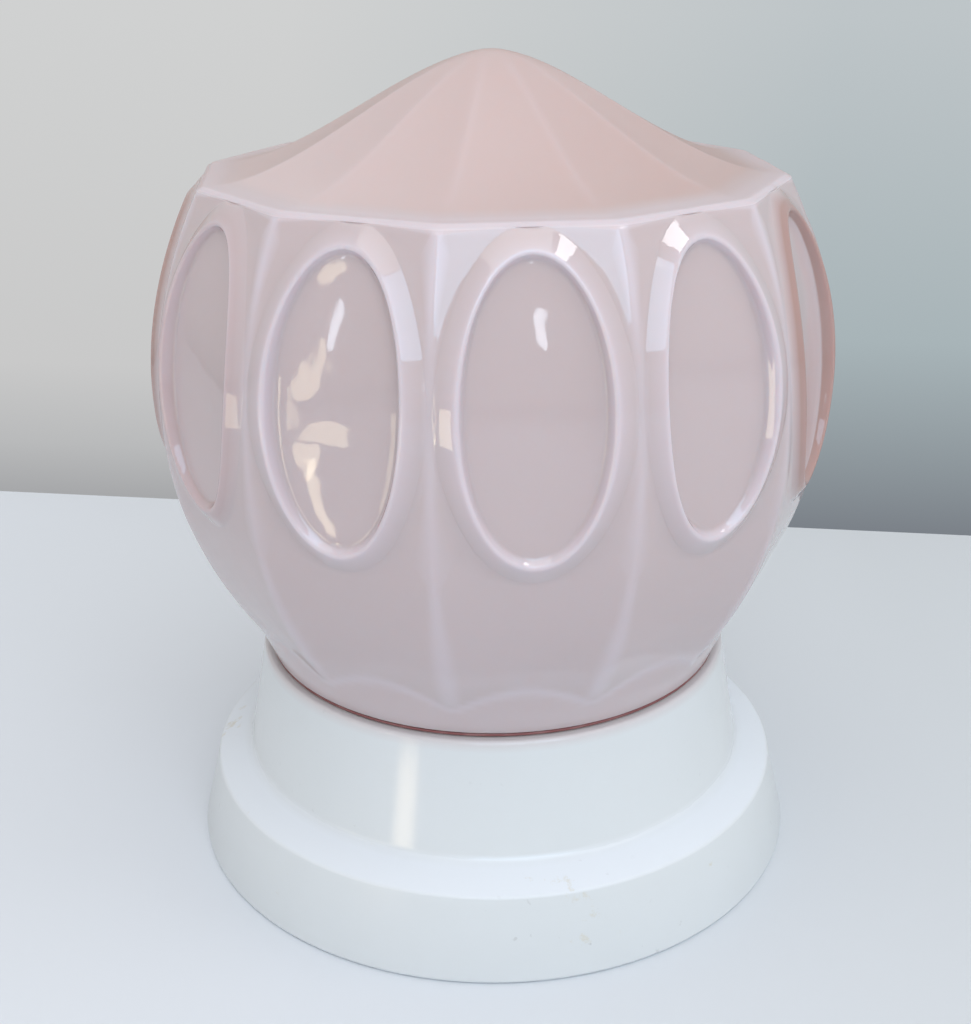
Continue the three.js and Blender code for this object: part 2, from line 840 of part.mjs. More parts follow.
/** Pear outline, moved inwards by an offset: neck, waist arc and the round end. */
function bulbOutline(offset) {
  const centre = bulb_top - bulb_radius;
  const run = bulb_radius + bulb_waist_radius;
  const reach = bulb_neck_radius + bulb_waist_radius;
  const waist = centre - Math.sqrt(run ** 2 - reach ** 2);
  const lean = THREE.MathUtils.radToDeg(Math.acos(reach / run));
  const waist_steps = 4;
  const round_steps = 9;
  const waistArc = arc(reach, waist, bulb_waist_radius + offset, 180, 180 - lean, waist_steps);
  const roundArc = arc(0, centre, bulb_radius - offset, -lean, 90, round_steps);
  roundArc[round_steps][0] = 0;
  return [...waistArc.slice(0, -1), ...roundArc];
}

/** Level of the glass neck's open end inside the cap. */
function neckEnd() {
  return cap_top - cap_length / 4;
}

function bulbGlass() {
  const outside = [[bulb_neck_radius, neckEnd()], ...bulbOutline(0)];
  const inside = [[bulb_neck_radius - bulb_wall, neckEnd()], ...bulbOutline(bulb_wall)];
  return turned([...outside, ...inside.reverse()], bulb_steps);
}

function bulbCap() {
  const inner = cap_radius - cap_wall;
  const cone_top = cap_level + cap_cone;
  return turned([
    [insulator_radius - cap_wall, cap_level],
    [insulator_radius, cap_level],
    [cap_radius, cone_top],
    [cap_radius, cap_top],
    [inner, cap_top],
    [inner, cone_top + cap_wall],
    [insulator_radius - cap_wall, cap_level + cap_wall * 2],
  ], medium_steps);
}

function bulbInsulator() {
  const low = bulb_level + tip_height;
  const high = cap_level - seat_gap;
  return turned([
    [0, low],
    [tip_radius + seat_gap, low],
    [insulator_radius, high],
    [0, high],
  ], medium_steps, false);
}

function bulbTip() {
  const high = bulb_level + tip_height - seat_gap;
  return turned([
    [0, bulb_level],
    [tip_radius / 2, bulb_level],
    [tip_radius, bulb_level + tip_height / 2],
    [tip_radius, high],
    [0, high],
  ], small_steps, false);
}

/** Glass mount inside the bulb: a flare at the neck, a tube and a button at its end. */
function bulbStem() {
  const top = cap_top + stem_length;
  return turned([
    [0, neckEnd()],
    [stem_flare_radius, neckEnd()],
    [stem_radius, cap_top],
    [stem_radius / 2, top - stem_button_radius],
    ...arc(0, top, stem_button_radius, -60, 60),
    [0, top + stem_button_radius],
  ], small_steps, false);
}

/** Wire along a curve, as a closed tube. */
function wire(points, radius, steps) {
  const ring = new THREE.Shape();
  ring.absarc(0, 0, radius, 0, 2 * Math.PI);
  const extrudePath = new THREE.CatmullRomCurve3(points.map((point) => new THREE.Vector3(...point)));
  return new THREE.ExtrudeGeometry(ring, { steps, curveSegments: wire_steps / 4, extrudePath });
}

function stemTop() {
  return cap_top + stem_length + stem_button_radius;
}

/** Lead wire that leaves the stem's side, bends out and carries one end of the filament. */
function leadWire(side) {
  const top = stemTop();
  const bend_shares = [0, 0.2, 0.8, 1];
  const stem_taper_share = 0.75;
  const root = stem_radius * stem_taper_share + lead_radius + seat_gap;
  return wire(bend_shares.map((share) => [
    side * THREE.MathUtils.lerp(root, lead_spread, share ** 2),
    0,
    top - lead_length * (1 - share),
  ]), lead_radius, wire_steps);
}

function filament() {
  const top = stemTop();
  const sag = lead_spread / 3;
  return wire([
    [-lead_spread, 0, top + filament_radius + lead_radius + seat_gap],
    [-lead_spread / 2, -sag, top + sag],
    [0, 0, top + sag],
    [lead_spread / 2, sag, top + sag],
    [lead_spread, 0, top + filament_radius + lead_radius + seat_gap],
  ], filament_radius, wire_steps * 2);
}

// Materials

function material(color, roughness, metalness, opacity = 1) {
  return new THREE.MeshStandardMaterial({
    color,
    roughness,
    metalness,
    opacity,
    transparent: opacity < 1,
  });
}

const white_plastic = material('#e4e6ea', 0.28, 0);
const pink_glass = material('#d8bcbd', 0.08, 0, 0.9);
const red_rubber = material('#6a2c30', 0.6, 0);
const dark_rubber = material('#2a2a2c', 0.7, 0);
const porcelain = material('#efece4', 0.2, 0);
const brass = material('#b99a55', 0.35, 0.9);
const steel = material('#b6b8bc', 0.35, 0.9);
const clear_glass = material('#f2f4f4', 0.05, 0, 0.35);
const cap_metal = material('#c8c9cb', 0.3, 0.9);
const black_glass = material('#1d1c22', 0.2, 0);
const tungsten = material('#5c5a58', 0.5, 0.8);

function piece(name, geometry, surface, x = 0, y = 0) {
  const mesh = new THREE.Mesh(weld(geometry), surface);
  mesh.name = name;
  mesh.position.set(x, y, 0);
  return mesh;
}

function baseGroup() {
  const group = new THREE.Group();
  group.add(piece('base_skirt', baseSkirt(), white_plastic));
  group.add(piece('base_gallery', baseGallery(), white_plastic));
  group.add(piece('base_floor', baseFloor(), white_plastic));
  group.add(piece('cable_grommet', cableGrommet(), dark_rubber, 0, cable_offset));
  return group;
}

function lampholderGroup() {
  const group = new THREE.Group();
  group.add(piece('lampholder_body', lampholderBody(), porcelain));
  group.add(piece('lampholder_shell', lampholderShell(), brass));
  group.add(piece('live_strip', liveStrip(), brass));
  group.add(piece('neutral_strip', neutralStrip(), brass));
  group.add(piece('centre_contact', centreContact(), brass));
  for (const [name, side] of [['live', 1], ['neutral', -1]]) {
    const terminal = piece(`${name}_terminal`, terminalBlock(), brass, side * pocketCentre());
    terminal.rotation.z = side > 0 ? 0 : Math.PI;
    group.add(terminal);
    group.add(piece(`${name}_clamp_screw`, clampScrew(), steel, side * pocketCentre()));
  }
  for (const [name, side] of [['front', -1], ['rear', 1]]) {
    group.add(piece(`holder_screw_${name}`, holderScrew(), steel, 0, side * holder_screw_offset));
    group.add(piece(`holder_nut_${name}`, holderNut(), steel, 0, side * holder_screw_offset));
  }
  return group;
}

function bulbGroup() {
  const group = new THREE.Group();
  group.add(piece('bulb_glass', bulbGlass(), clear_glass));
  group.add(piece('bulb_cap', bulbCap(), cap_metal));
  group.add(piece('bulb_insulator', bulbInsulator(), black_glass));
  group.add(piece('bulb_tip', bulbTip(), cap_metal));
  group.add(piece('bulb_stem', bulbStem(), clear_glass));
  group.add(piece('lead_wire_left', leadWire(-1), tungsten));
  group.add(piece('lead_wire_right', leadWire(1), tungsten));
  group.add(piece('filament', filament(), tungsten));
  return group;
}

function shadeGroup() {
  const group = new THREE.Group();
  group.add(piece('shade_seal', shadeSeal(), red_rubber));
  const shade = piece('glass_shade', glassShade(), pink_glass);
  shade.rotation.z = THREE.MathUtils.degToRad(facet_turn_degrees);
  group.add(shade);
  return group;
}

const lamp = new THREE.Group();
lamp.add(baseGroup(), lampholderGroup(), bulbGroup(), shadeGroup());

export default lamp;
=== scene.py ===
"""Ceiling lamp standing on its base: white moulded base, pressed pink glass shade, bulb inside.

Every size below is in millimetres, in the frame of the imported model, but the finishes give
their levels and depths in metres, as their coordinates are. Pieces are built as bmesh in
millimetres and become objects in metres when they are finished.
"""

import logging
import math
from collections.abc import Callable, Sequence
from dataclasses import dataclass
from enum import Enum

import bmesh
import bpy
from bpy.types import Material, NodeSocket
from mathutils import Matrix, Vector


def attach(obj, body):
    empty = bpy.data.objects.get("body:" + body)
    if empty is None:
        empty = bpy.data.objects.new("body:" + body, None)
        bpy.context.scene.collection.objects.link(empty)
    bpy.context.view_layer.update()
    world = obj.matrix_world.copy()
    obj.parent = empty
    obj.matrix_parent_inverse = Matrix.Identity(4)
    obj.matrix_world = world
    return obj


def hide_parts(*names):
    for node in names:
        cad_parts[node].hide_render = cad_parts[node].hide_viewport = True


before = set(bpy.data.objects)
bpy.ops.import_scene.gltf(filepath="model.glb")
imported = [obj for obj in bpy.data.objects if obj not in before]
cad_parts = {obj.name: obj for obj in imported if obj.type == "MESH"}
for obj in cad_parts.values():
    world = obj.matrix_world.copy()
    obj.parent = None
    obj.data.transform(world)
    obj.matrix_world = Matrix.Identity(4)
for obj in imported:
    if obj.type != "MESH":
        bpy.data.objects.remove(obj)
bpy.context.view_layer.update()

MM = 0.001
FULL_TURN = 2 * math.pi
UP = Vector((0, 0, 1))
ORIGIN = Vector((0, 0, 0))

Pair = tuple[float, float]
Triple = tuple[float, float, float]
Outline = Sequence[Pair]
Placing = Callable[[float, float], tuple[Vector, float]]
Vertex = bmesh.types.BMVert

log = logging.getLogger("ceiling_lamp")


class Body(Enum):
    """Moving bodies that drawn pieces ride on."""

    BASE = "base"
    SEAL = "seal"
    SHADE = "shade"
    BULB = "bulb"


class Slot(Enum):
    """Material slots of the drawn pieces."""

    BASE = "base"
    SHADE_GLASS = "shade_glass"
    SEAL_RUBBER = "seal_rubber"
    GROMMET_RUBBER = "grommet_rubber"
    PORCELAIN = "porcelain"
    BRASS = "brass"
    BULB_CLEAR = "bulb_clear"
    CAP_METAL = "cap_metal"
    CAP_GLASS = "cap_glass"
    TUNGSTEN = "tungsten"


class Carving(Enum):
    """Ways in which one solid changes another."""

    JOIN = "UNION"
    CUT = "DIFFERENCE"


def colour(code: str) -> tuple[float, float, float, float]:
    """Turns a hex colour, as it looks on screen, into linear light.

    Args:
        code: Six hex digits.

    Returns:
        Red, green, blue and alpha.
    """
    channels = [int(code[i : i + 2], 16) / 255 for i in (0, 2, 4)]
    linear = [c / 12.92 if c <= 0.04045 else ((c + 0.055) / 1.055) ** 2.4 for c in channels]
    return (*linear, 1.0)


def blend(low: float, high: float, share: float) -> float:
    """Value between two others, by share."""
    return low + (high - low) * share


def smooth(value: float, low: float, high: float) -> float:
    """Eases from 0 at the low value to 1 at the high value."""
    share = min(max((value - low) / (high - low), 0.0), 1.0)
    return share * share * (3 - 2 * share)


def spread(low: float, high: float, count: int) -> list[float]:
    """Values from low to high, in evenly long steps."""
    return [blend(low, high, i / count) for i in range(count + 1)]


def arc(centre: Pair, radius: float, start: float, end: float, steps: int) -> list[Pair]:
    """Points of a round in an outline.

    Args:
        centre: Radius and height of the round's centre.
        radius: Radius of the round.
        start: First angle in degrees.
        end: Last angle in degrees.
        steps: Number of straight runs.

    Returns:
        Outline points from start to end.
    """
    turns = [math.radians(degrees) for degrees in spread(start, end, steps)]
    return [(centre[0] + radius * math.cos(t), centre[1] + radius * math.sin(t)) for t in turns]


# Finishes


class NodePad:
    """Adds shader nodes to one new material and links them."""

    # Sockets of a colour mix, which share their names with those of its other kinds
    MIX_LOW, MIX_HIGH, MIX_RESULT = 6, 7, 2

    def __init__(self, name: str) -> None:
        """Makes the material, with its plain shader."""
        self.material = bpy.data.materials.new(name)
        self.material.use_nodes = True
        self.tree = self.material.node_tree
        self.shader = self.tree.nodes["Principled BSDF"]
        self.point = self.node("TexCoord").outputs["Object"]

    def give(self, socket: NodeSocket, value: object) -> None:
        """Links a source to a socket, or sets it to a number, a vector or a hex colour."""
        if isinstance(value, NodeSocket):
            self.tree.links.new(value, socket)
        else:
            socket.default_value = colour(value) if isinstance(value, str) else value

    def give_all(self, node: bpy.types.Node, inputs: dict[str, object]) -> None:
        """Gives a node its inputs, named with underscores for spaces."""
        for name, value in inputs.items():
            self.give(node.inputs[name.replace("_", " ")], value)

    def node(self, kind: str, **inputs: object) -> bpy.types.Node:
        """Adds a node with its inputs."""
        made = self.tree.nodes.new(f"ShaderNode{kind}")
        self.give_all(made, inputs)
        return made

    def set(self, **inputs: object) -> None:
        """Gives the shader its own inputs."""
        self.give_all(self.shader, inputs)

    def noise(
        self, scale: float, detail: float = 3, roughness: float = 0.5, stretch: Triple | None = None
    ) -> NodeSocket:
        """Cloudy pattern from 0 to 1.

        Args:
            scale: Repeats per metre.
            detail: Number of finer layers.
            roughness: Strength of the finer layers.
            stretch: Further repeats along each axis.

        Returns:
            The pattern.
        """
        point = self.point
        if stretch:
            point = self.node("Mapping", Vector=point, Scale=stretch).outputs["Vector"]
        node = self.node("TexNoise", Vector=point, Scale=scale, Detail=detail, Roughness=roughness)
        return node.outputs["Fac"]

    def spots(self, scale: float) -> NodeSocket:
        """Distance to the nearest of many scattered points."""
        return self.node("TexVoronoi", Vector=self.point, Scale=scale).outputs["Distance"]

    def attribute(self, name: str, output: str = "Fac") -> NodeSocket:
        """Value or vector stored on the piece's own vertices."""
        node = self.node("Attribute")
        node.attribute_name = name
        return node.outputs[output]

    def along(self, axis: str = "Z") -> NodeSocket:
        """Place of the surface point along an axis, in metres."""
        return self.node("SeparateXYZ", Vector=self.point).outputs[axis]

    def ramp(self, value: NodeSocket, stops: Sequence[tuple[float, str]]) -> NodeSocket:
        """Colour along a run of stops, each a place from 0 to 1 and a hex code."""
        node = self.node("ValToRGB", Fac=value)
        for i, (place, code) in enumerate(stops):
            stop = node.color_ramp.elements[i] if i < 2 else node.color_ramp.elements.new(place)
            stop.position, stop.color = place, colour(code)
        return node.outputs["Color"]

    def span(self, value: NodeSocket, source: Pair, result: Pair = (0, 1)) -> NodeSocket:
        """Maps a range of values onto another, held at both ends."""
        (low, high), (first, last) = source, result
        node = self.node("MapRange", Value=value, From_Min=low, From_Max=high, To_Min=first, To_Max=last)
        return node.outputs["Result"]

    def level(self, source: Pair, result: Pair = (0, 1), axis: str = "Z") -> NodeSocket:
        """Maps a range of places along an axis, in metres, onto values."""
        return self.span(self.along(axis), source, result)

    def sum_up(self, way: str, first: NodeSocket, second: NodeSocket) -> NodeSocket:
        """Joins two values by a sum of the given kind."""
        node = self.node("Math")
        node.operation = way
        self.give(node.inputs[0], first)
        self.give(node.inputs[1], second)
        return node.outputs["Value"]

    def times(self, first: NodeSocket, second: NodeSocket) -> NodeSocket:
        """Product of two values."""
        return self.sum_up("MULTIPLY", first, second)

    def more(self, first: NodeSocket, second: NodeSocket) -> NodeSocket:
        """Larger of two values."""
        return self.sum_up("MAXIMUM", first, second)

    def shuffle(self, share: NodeSocket, first: NodeSocket, second: NodeSocket) -> NodeSocket:
        """Blends two shaders."""
        node = self.node("MixShader")
        for socket, source in zip(node.inputs, (share, first, second), strict=True):
            self.give(socket, source)
        return node.outputs["Shader"]

    def tint(self, share: NodeSocket, low: object, high: object) -> NodeSocket:
        """Colour between two others, each a hex code or a colour output."""
        node = self.node("Mix")
        node.data_type = "RGBA"
        self.give(node.inputs["Factor"], share)
        self.give(node.inputs[self.MIX_LOW], low)
        self.give(node.inputs[self.MIX_HIGH], high)
        return node.outputs[self.MIX_RESULT]

    def relief(self, height: NodeSocket, depth: float, strength: float = 1.0) -> None:
        """Bumps the surface by a pattern, with its depth in metres, over any bump it has."""
        node = self.node("Bump", Strength=strength, Distance=depth, Height=height)
        normal = self.shader.inputs["Normal"]
        if normal.is_linked:
            self.give(node.inputs["Normal"], normal.links[0].from_socket)
        self.give(normal, node.outputs["Normal"])


@dataclass(frozen=True)
class OpalGlass:
    """Pressed pink opal glass, fire-polished, warmer where it is thick, with painted light on its crown, rim
    skirt and edges.
    """

    body: str = "c5b6b8"
    cloud: str = "c1b3b4"
    # Painted reflection: lighter lavender tone on the rim's skirt
    skirt: str = "c5b9bc"
    # Crown colours: painted warm light through the crown, painted darker and warmer to the right as shade
    crown: tuple[str, str] = ("cebcbc", "c0a8a4")
    thick: str = "a5837a"
    # Painted highlight colour, laid on crests, ridges, rim, creases and fold through the edge attribute
    edge: str = "d2c9d1"
    painted_crown_shade_side: Pair = (-0.035, 0.03)
    painted_skirt_reflection_levels: Pair = (0.1400, 0.1412)
    painted_crown_light_levels: Pair = (0.1414, 0.1426)
    satin_levels: Pair = (0.1398, 0.1412)
    wave_levels: Pair = (0.137, 0.1398)
    edge_on_levels: Pair = (0.088, 0.098)
    deep_look: Pair = (0.5, 0.78)
    deep_share: float = 0.85
    edge_on_look: Pair = (0.74, 0.96)
    edge_on_share: float = 0.6
    gloss: Pair = (0.02, 0.05)
    satin: float = 0.34
    ripple: float = 0.00012

    def make(self) -> Material:
        """Builds the glass.

        The attribute edge, a painted highlight along crests, ridges, rim, creases and the fold, and the
        attribute raised come from the shade's relief. The attribute core is the facing of the facet under the
        relief: the deeper the look across it, the warmer the glass.
        """
        pad = NodePad("opal_glass")
        base = pad.tint(pad.noise(34, 2), self.body, self.cloud)
        # Painted reflection on the rim's skirt
        base = pad.tint(pad.level(self.painted_skirt_reflection_levels), base, self.skirt)
        # Painted light on the crown: warm glow, blended into painted shade towards the right
        crown = pad.tint(pad.level(self.painted_crown_shade_side, axis="X"), *self.crown)
        base = pad.tint(pad.level(self.painted_crown_light_levels), base, crown)
        # Painted highlights along the relief's edges
        base = pad.tint(pad.attribute("edge"), base, self.edge)
        core = pad.node("VectorTransform", Vector=pad.attribute("core", "Vector"))
        core.vector_type, core.convert_from, core.convert_to = "NORMAL", "OBJECT", "WORLD"
        across = pad.node("LayerWeight", Normal=core.outputs["Vector"]).outputs["Facing"]
        raised = pad.span(pad.attribute("raised"), (0.02, 0.3))
        deep = pad.times(pad.span(across, self.deep_look, (0, self.deep_share)), raised)
        base = pad.tint(deep, base, self.thick)
        facing = pad.node("LayerWeight").outputs["Facing"]
        edge_on = pad.span(facing, self.edge_on_look, (0, self.edge_on_share))
        base = pad.tint(pad.times(edge_on, pad.level(self.edge_on_levels)), base, self.thick)
        gloss = pad.span(pad.noise(160, 4), (0.3, 0.75), self.gloss)
        pad.set(Base_Color=base, Roughness=pad.more(gloss, pad.level(self.satin_levels, (0, self.satin))))
        pad.set(IOR=1.62, Subsurface_Weight=0.35, Subsurface_Scale=0.004, Subsurface_Radius=(1.0, 0.55, 0.45))
        pad.relief(pad.times(pad.noise(70, 2), pad.level(self.wave_levels, (1, 0))), self.ripple)
        return pad.material


@dataclass(frozen=True)
class MouldedPlastic:
    """White glossy plastic, scratched round the upper tier and worn to satin below."""

    white: str = "dadfe2"
    shade: str = "d2d8da"
    scuff: str = "c9c3ae"
    # Painted light: the upward-facing ledge painted lighter and bluer
    ledge: str = "dee5ec"
    # Painted shade and pink reflection of the glass on the tier's top edge, under the seal
    painted_glass_shade_and_reflection: str = "cabcbd"
    speck: str = "a3a6a6"
    painted_ledge_light_levels: Pair = (0.0166, 0.0172)
    tier_levels: Pair = (0.0195, 0.0212)
    painted_glass_shade_and_reflection_levels: Pair = (0.0414, 0.0434)
    speck_levels: Pair = (0.004, 0.019)
    roughness: Pair = (0.42, 0.13)
    scratch: Triple = (6, 6, 900)

    def make(self) -> Material:
        """Builds the plastic, with its change from satin to gloss at the tier's foot."""
        pad = NodePad("moulded_plastic")
        base = pad.tint(pad.noise(22, 4), self.white, self.shade)
        below = pad.level(self.tier_levels, (1, 0))
        # Painted light on the ledge
        base = pad.tint(pad.times(pad.level(self.painted_ledge_light_levels), below), base, self.ledge)
        # Painted shade and reflection of the glass under the seal
        base = pad.tint(pad.level(self.painted_glass_shade_and_reflection_levels, (0, 0.45)), base, self.painted_glass_shade_and_reflection)
        scuffs = pad.span(pad.noise(95, 6, 0.7), (0.64, 0.74), (0, 0.8))
        base = pad.tint(pad.times(scuffs, below), base, self.scuff)
        specks = pad.span(pad.noise(520, 2), (0.7, 0.76), (0, 0.6))
        specks = pad.times(specks, pad.span(pad.noise(40), (0.5, 0.62)))
        base = pad.tint(pad.times(specks, pad.level(self.speck_levels, (1, 0.25))), base, self.speck)
        patchy = pad.span(pad.noise(60, 5, 0.6), (0.3, 0.7), (0.85, 1.25))
        pad.set(Base_Color=base, Roughness=pad.times(pad.level(self.tier_levels, self.roughness), patchy))
        pad.set(IOR=1.49, Subsurface_Weight=0.08, Subsurface_Scale=0.002, Subsurface_Radius=(1, 1, 1))
        pad.relief(pad.noise(3, 3, 0.6, self.scratch), 0.00003, 0.35)
        pad.relief(pad.noise(240), 0.00004, 0.3)
        return pad.material


@dataclass(frozen=True)
class Rubber:
    """Satin rubber with a fine grain and pale dust."""

    name: str
    tone: str
    dust: str
    roughness: Pair = (0.55, 0.7)

    def make(self) -> Material:
        """Builds the rubber."""
        pad = NodePad(self.name)
        dust = pad.span(pad.noise(260, 5), (0.45, 0.8), (0, 0.6))
        worn = pad.span(pad.noise(500), (0.3, 0.7), self.roughness)
        pad.set(Base_Color=pad.tint(dust, self.tone, self.dust), Roughness=worn)
        pad.relief(pad.noise(1800), 0.00005, 0.4)
        return pad.material


@dataclass(frozen=True)
class GlazedPorcelain:
    """White porcelain under a clear glaze, with dark specks from the kiln."""

    glaze: str = "eeeae1"
    hollow: str = "e2dccf"
    speck: str = "6b6053"

    def make(self) -> Material:
        """Builds the porcelain."""
        pad = NodePad("glazed_porcelain")
        base = pad.tint(pad.noise(80), self.glaze, self.hollow)
        base = pad.tint(pad.span(pad.spots(220), (0.03, 0.07), (0.7, 0)), base, self.speck)
        pad.set(Base_Color=base, Roughness=pad.span(pad.noise(200), (0.3, 0.7), (0.12, 0.24)))
        pad.set(IOR=1.55, Coat_Weight=0.4, Coat_Roughness=0.05)
        pad.relief(pad.noise(300), 0.00004, 0.3)
        return pad.material


@dataclass(frozen=True)
class Metal:
    """Worked metal: a bright tone, a dulled tone and fine lines from its making."""

    name: str
    bright: str
    dull: str
    roughness: Pair
    lines: Triple

    def make(self) -> Material:
        """Builds the metal."""
        pad = NodePad(self.name)
        cloud = pad.noise(180, 5, 0.65)
        base = pad.tint(pad.span(cloud, (0.35, 0.7)), self.bright, self.dull)
        pad.set(Base_Color=base, Roughness=pad.span(cloud, (0.3, 0.75), self.roughness), Metallic=1.0)
        pad.relief(pad.noise(2, 3, 0.6, self.lines), 0.00003, 0.4)
        return pad.material


@dataclass(frozen=True)
class ClearGlass:
    """Thin clear lamp glass, with faint ripples from blowing."""

    tone: str = "f4f7f7"
    cloud: str = "eef3f4"

    def make(self) -> Material:
        """Builds the glass."""
        pad = NodePad("clear_glass")
        base = pad.tint(pad.noise(60, 2), self.tone, self.cloud)
        pad.set(Base_Color=base, Roughness=pad.span(pad.noise(120), (0.3, 0.8), (0.0, 0.03)))
        pad.set(IOR=1.45, Transmission_Weight=1.0)
        pad.relief(pad.noise(50, 2), 0.0001, 0.3)
        return pad.material


@dataclass(frozen=True)
class BlackGlass:
    """Dark glass that holds the cap's tip."""

    tone: str = "1b1a20"
    cloud: str = "2c2830"

    def make(self) -> Material:
        """Builds the glass."""
        pad = NodePad("black_glass")
        base = pad.tint(pad.noise(200), self.tone, self.cloud)
        pad.set(Base_Color=base, Roughness=pad.span(pad.noise(300, 4), (0.3, 0.8), (0.08, 0.25)))
        pad.relief(pad.noise(260), 0.00005, 0.4)
        return pad.material


# Piece making


def put(name: str, data: bpy.types.ID) -> bpy.types.Object:
    """Adds an object to the scene."""
    made = bpy.data.objects.new(name, data)
    bpy.context.scene.collection.objects.link(made)
    return made


def vertices_of(geometry: Sequence) -> list[Vertex]:
    """The vertices among mixed geometry."""
    return [part for part in geometry if isinstance(part, Vertex)]


class Piece:
    """One named piece: a bmesh in millimetres that becomes an object in metres."""

    def __init__(self, name: str) -> None:
        """Starts an empty piece."""
        self.name = name
        self.mesh = bmesh.new()

    def wire(self, points: Sequence[Sequence[float]], closed: bool = False) -> list:
        """Adds an open or closed run of edges.

        Args:
            points: The run's corners.
            closed: Whether the last corner joins the first.

        Returns:
            The run's vertices and edges.
        """
        corners = [self.mesh.verts.new(point) for point in points]
        pairs = list(zip(corners, corners[1:], strict=False))
        if closed:
            pairs.append((corners[-1], corners[0]))
        return [*corners, *(self.mesh.edges.new(pair) for pair in pairs)]

    def turn(self, outline: Outline, steps: int, closed: bool = True, centre: Pair = (0, 0)) -> list[Vertex]:
        """Spins an outline of radius and height round an upright axis.

        Args:
            outline: The half section.
            steps: Faces round the axis.
            closed: Whether the half section is a ring, not a run between two axis points.
            centre: Where the axis stands.

        Returns:
            The vertices of the turned solid.
        """
        before = set(self.mesh.verts)
        geometry = self.wire([(centre[0] + r, centre[1], z) for r, z in outline], closed)
        spin = {"cent": (*centre, 0), "axis": UP, "angle": FULL_TURN, "steps": steps}
        bmesh.ops.spin(self.mesh, geom=geometry, use_merge=True, **spin)
        return [v for v in self.mesh.verts if v not in before]

    def sweep(self, path: Sequence[Vector], radius: float, sides: int) -> None:
        """Draws a round wire along a path, closed at both ends.

        Args:
            path: Centre line of the wire.
            radius: Radius of the wire.
            sides: Faces round the wire.
        """
        rim = bmesh.ops.create_circle(self.mesh, segments=sides, radius=radius, cap_ends=True)["verts"]
        flat = [v.co.copy() for v in rim]
        loop = rim
        for i, point in enumerate(path):
            ahead = (path[min(i + 1, len(path) - 1)] - path[max(i - 1, 0)]).normalized()
            facing = Matrix.Translation(point) @ ahead.to_track_quat("Z", "Y").to_matrix().to_4x4()
            if i:
                edges = {e for v in loop for e in v.link_edges if e.other_vert(v) in loop}
                fresh = vertices_of(bmesh.ops.extrude_edge_only(self.mesh, edges=list(edges))["geom"])
                loop = [next(e.other_vert(v) for e in v.link_edges if e.other_vert(v) in fresh) for v in loop]
            for vertex, corner in zip(loop, flat, strict=True):
                vertex.co = facing @ corner
        bmesh.ops.contextual_create(self.mesh, geom=loop)

    def draw_out(self, faces: Sequence[bmesh.types.BMFace], move: Sequence[float]) -> None:
        """Draws flat faces out into a solid."""
        made = bmesh.ops.extrude_face_region(self.mesh, geom=faces)["geom"]
        bmesh.ops.translate(self.mesh, vec=move, verts=vertices_of(made))

    def shift(self, move: Sequence[float], turn: float = 0.0) -> None:
        """Turns the piece round the upright axis, then moves it."""
        place = Matrix.Translation(move) @ Matrix.Rotation(turn, 4, "Z")
        bmesh.ops.transform(self.mesh, matrix=place, verts=self.mesh.verts)

    def close(self, distance: float = 0.004) -> None:
        """Merges doubled vertices and turns the faces outwards."""
        bmesh.ops.remove_doubles(self.mesh, verts=self.mesh.verts, dist=distance)
        bmesh.ops.recalc_face_normals(self.mesh, faces=self.mesh.faces)

    def loose_object(self) -> bpy.types.Object:
        """Puts the bmesh in an object, still in millimetres."""
        data = bpy.data.meshes.new(self.name)
        self.mesh.to_mesh(data)
        self.mesh.free()
        return put(self.name, data)

    def carve(self, tools: Sequence[tuple["Piece", Carving]]) -> None:
        """Joins or cuts other solids, in order.

        Args:
            tools: The other solids, each with what it does to this piece.
        """
        self.close()
        host = self.loose_object()
        helpers = []
        for tool, way in tools:
            tool.close()
            helpers.append(tool.loose_object())
            change = host.modifiers.new(way.name.lower(), "BOOLEAN")
            change.operation, change.solver, change.object = way.value, "MANIFOLD", helpers[-1]
        graph = bpy.context.evaluated_depsgraph_get()
        carved = bpy.data.meshes.new_from_object(host.evaluated_get(graph))
        self.mesh = bmesh.new()
        self.mesh.from_mesh(carved)
        for helper in (host, *helpers):
            bpy.data.meshes.remove(helper.data)
        bpy.data.meshes.remove(carved)

    def finish(self, body: Body, surface: Material, slot: Slot, sharp: float, *stands_for: str) -> None:
        """Makes the finished object, in metres.

        Args:
            body: The moving body that it rides on.
            surface: Its material.
            slot: Its slot, which is not used.
            sharp: Angle in degrees over which an edge stays hard.
            stands_for: Model nodes that it takes the place of.
        """
        bmesh.ops.scale(self.mesh, vec=(MM, MM, MM), verts=self.mesh.verts)
        count = len(self.mesh.faces)
        made = self.loose_object()
        made.data.materials.append(surface)
        made.data.shade_smooth()
        made.data.set_sharp_from_angle(angle=math.radians(sharp))
        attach(made, body.value)
        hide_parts(*stands_for)
        log.info("%s: %d faces on %s", self.name, count, body.value)


def turned(name: str, outline: Outline, steps: int, closed: bool = True, centre: Pair = (0, 0)) -> Piece:
    """Piece that is one turned solid, given as for Piece.turn."""
    made = Piece(name)
    made.turn(outline, steps, closed, centre)
    made.close()
    return made


def cylinder(name: str, radius: float, low: float, high: float, centre: Pair, sides: int = 48) -> Piece:
    """Upright solid cylinder, for carving."""
    made = Piece(name)
    size = {"radius1": radius, "radius2": radius, "depth": high - low, "segments": sides}
    place = Matrix.Translation((*centre, low + (high - low) / 2))
    bmesh.ops.create_cone(made.mesh, cap_ends=True, matrix=place, **size)
    return made


def box(name: str, size: Pair, low: float, high: float, centre: Pair) -> Piece:
    """Upright solid box, for carving."""
    made = Piece(name)
    place = Matrix.Translation((*centre, (low + high) / 2)) @ Matrix.Diagonal((*size, high - low, 1))
    bmesh.ops.create_cube(made.mesh, size=1, matrix=place)
    return made


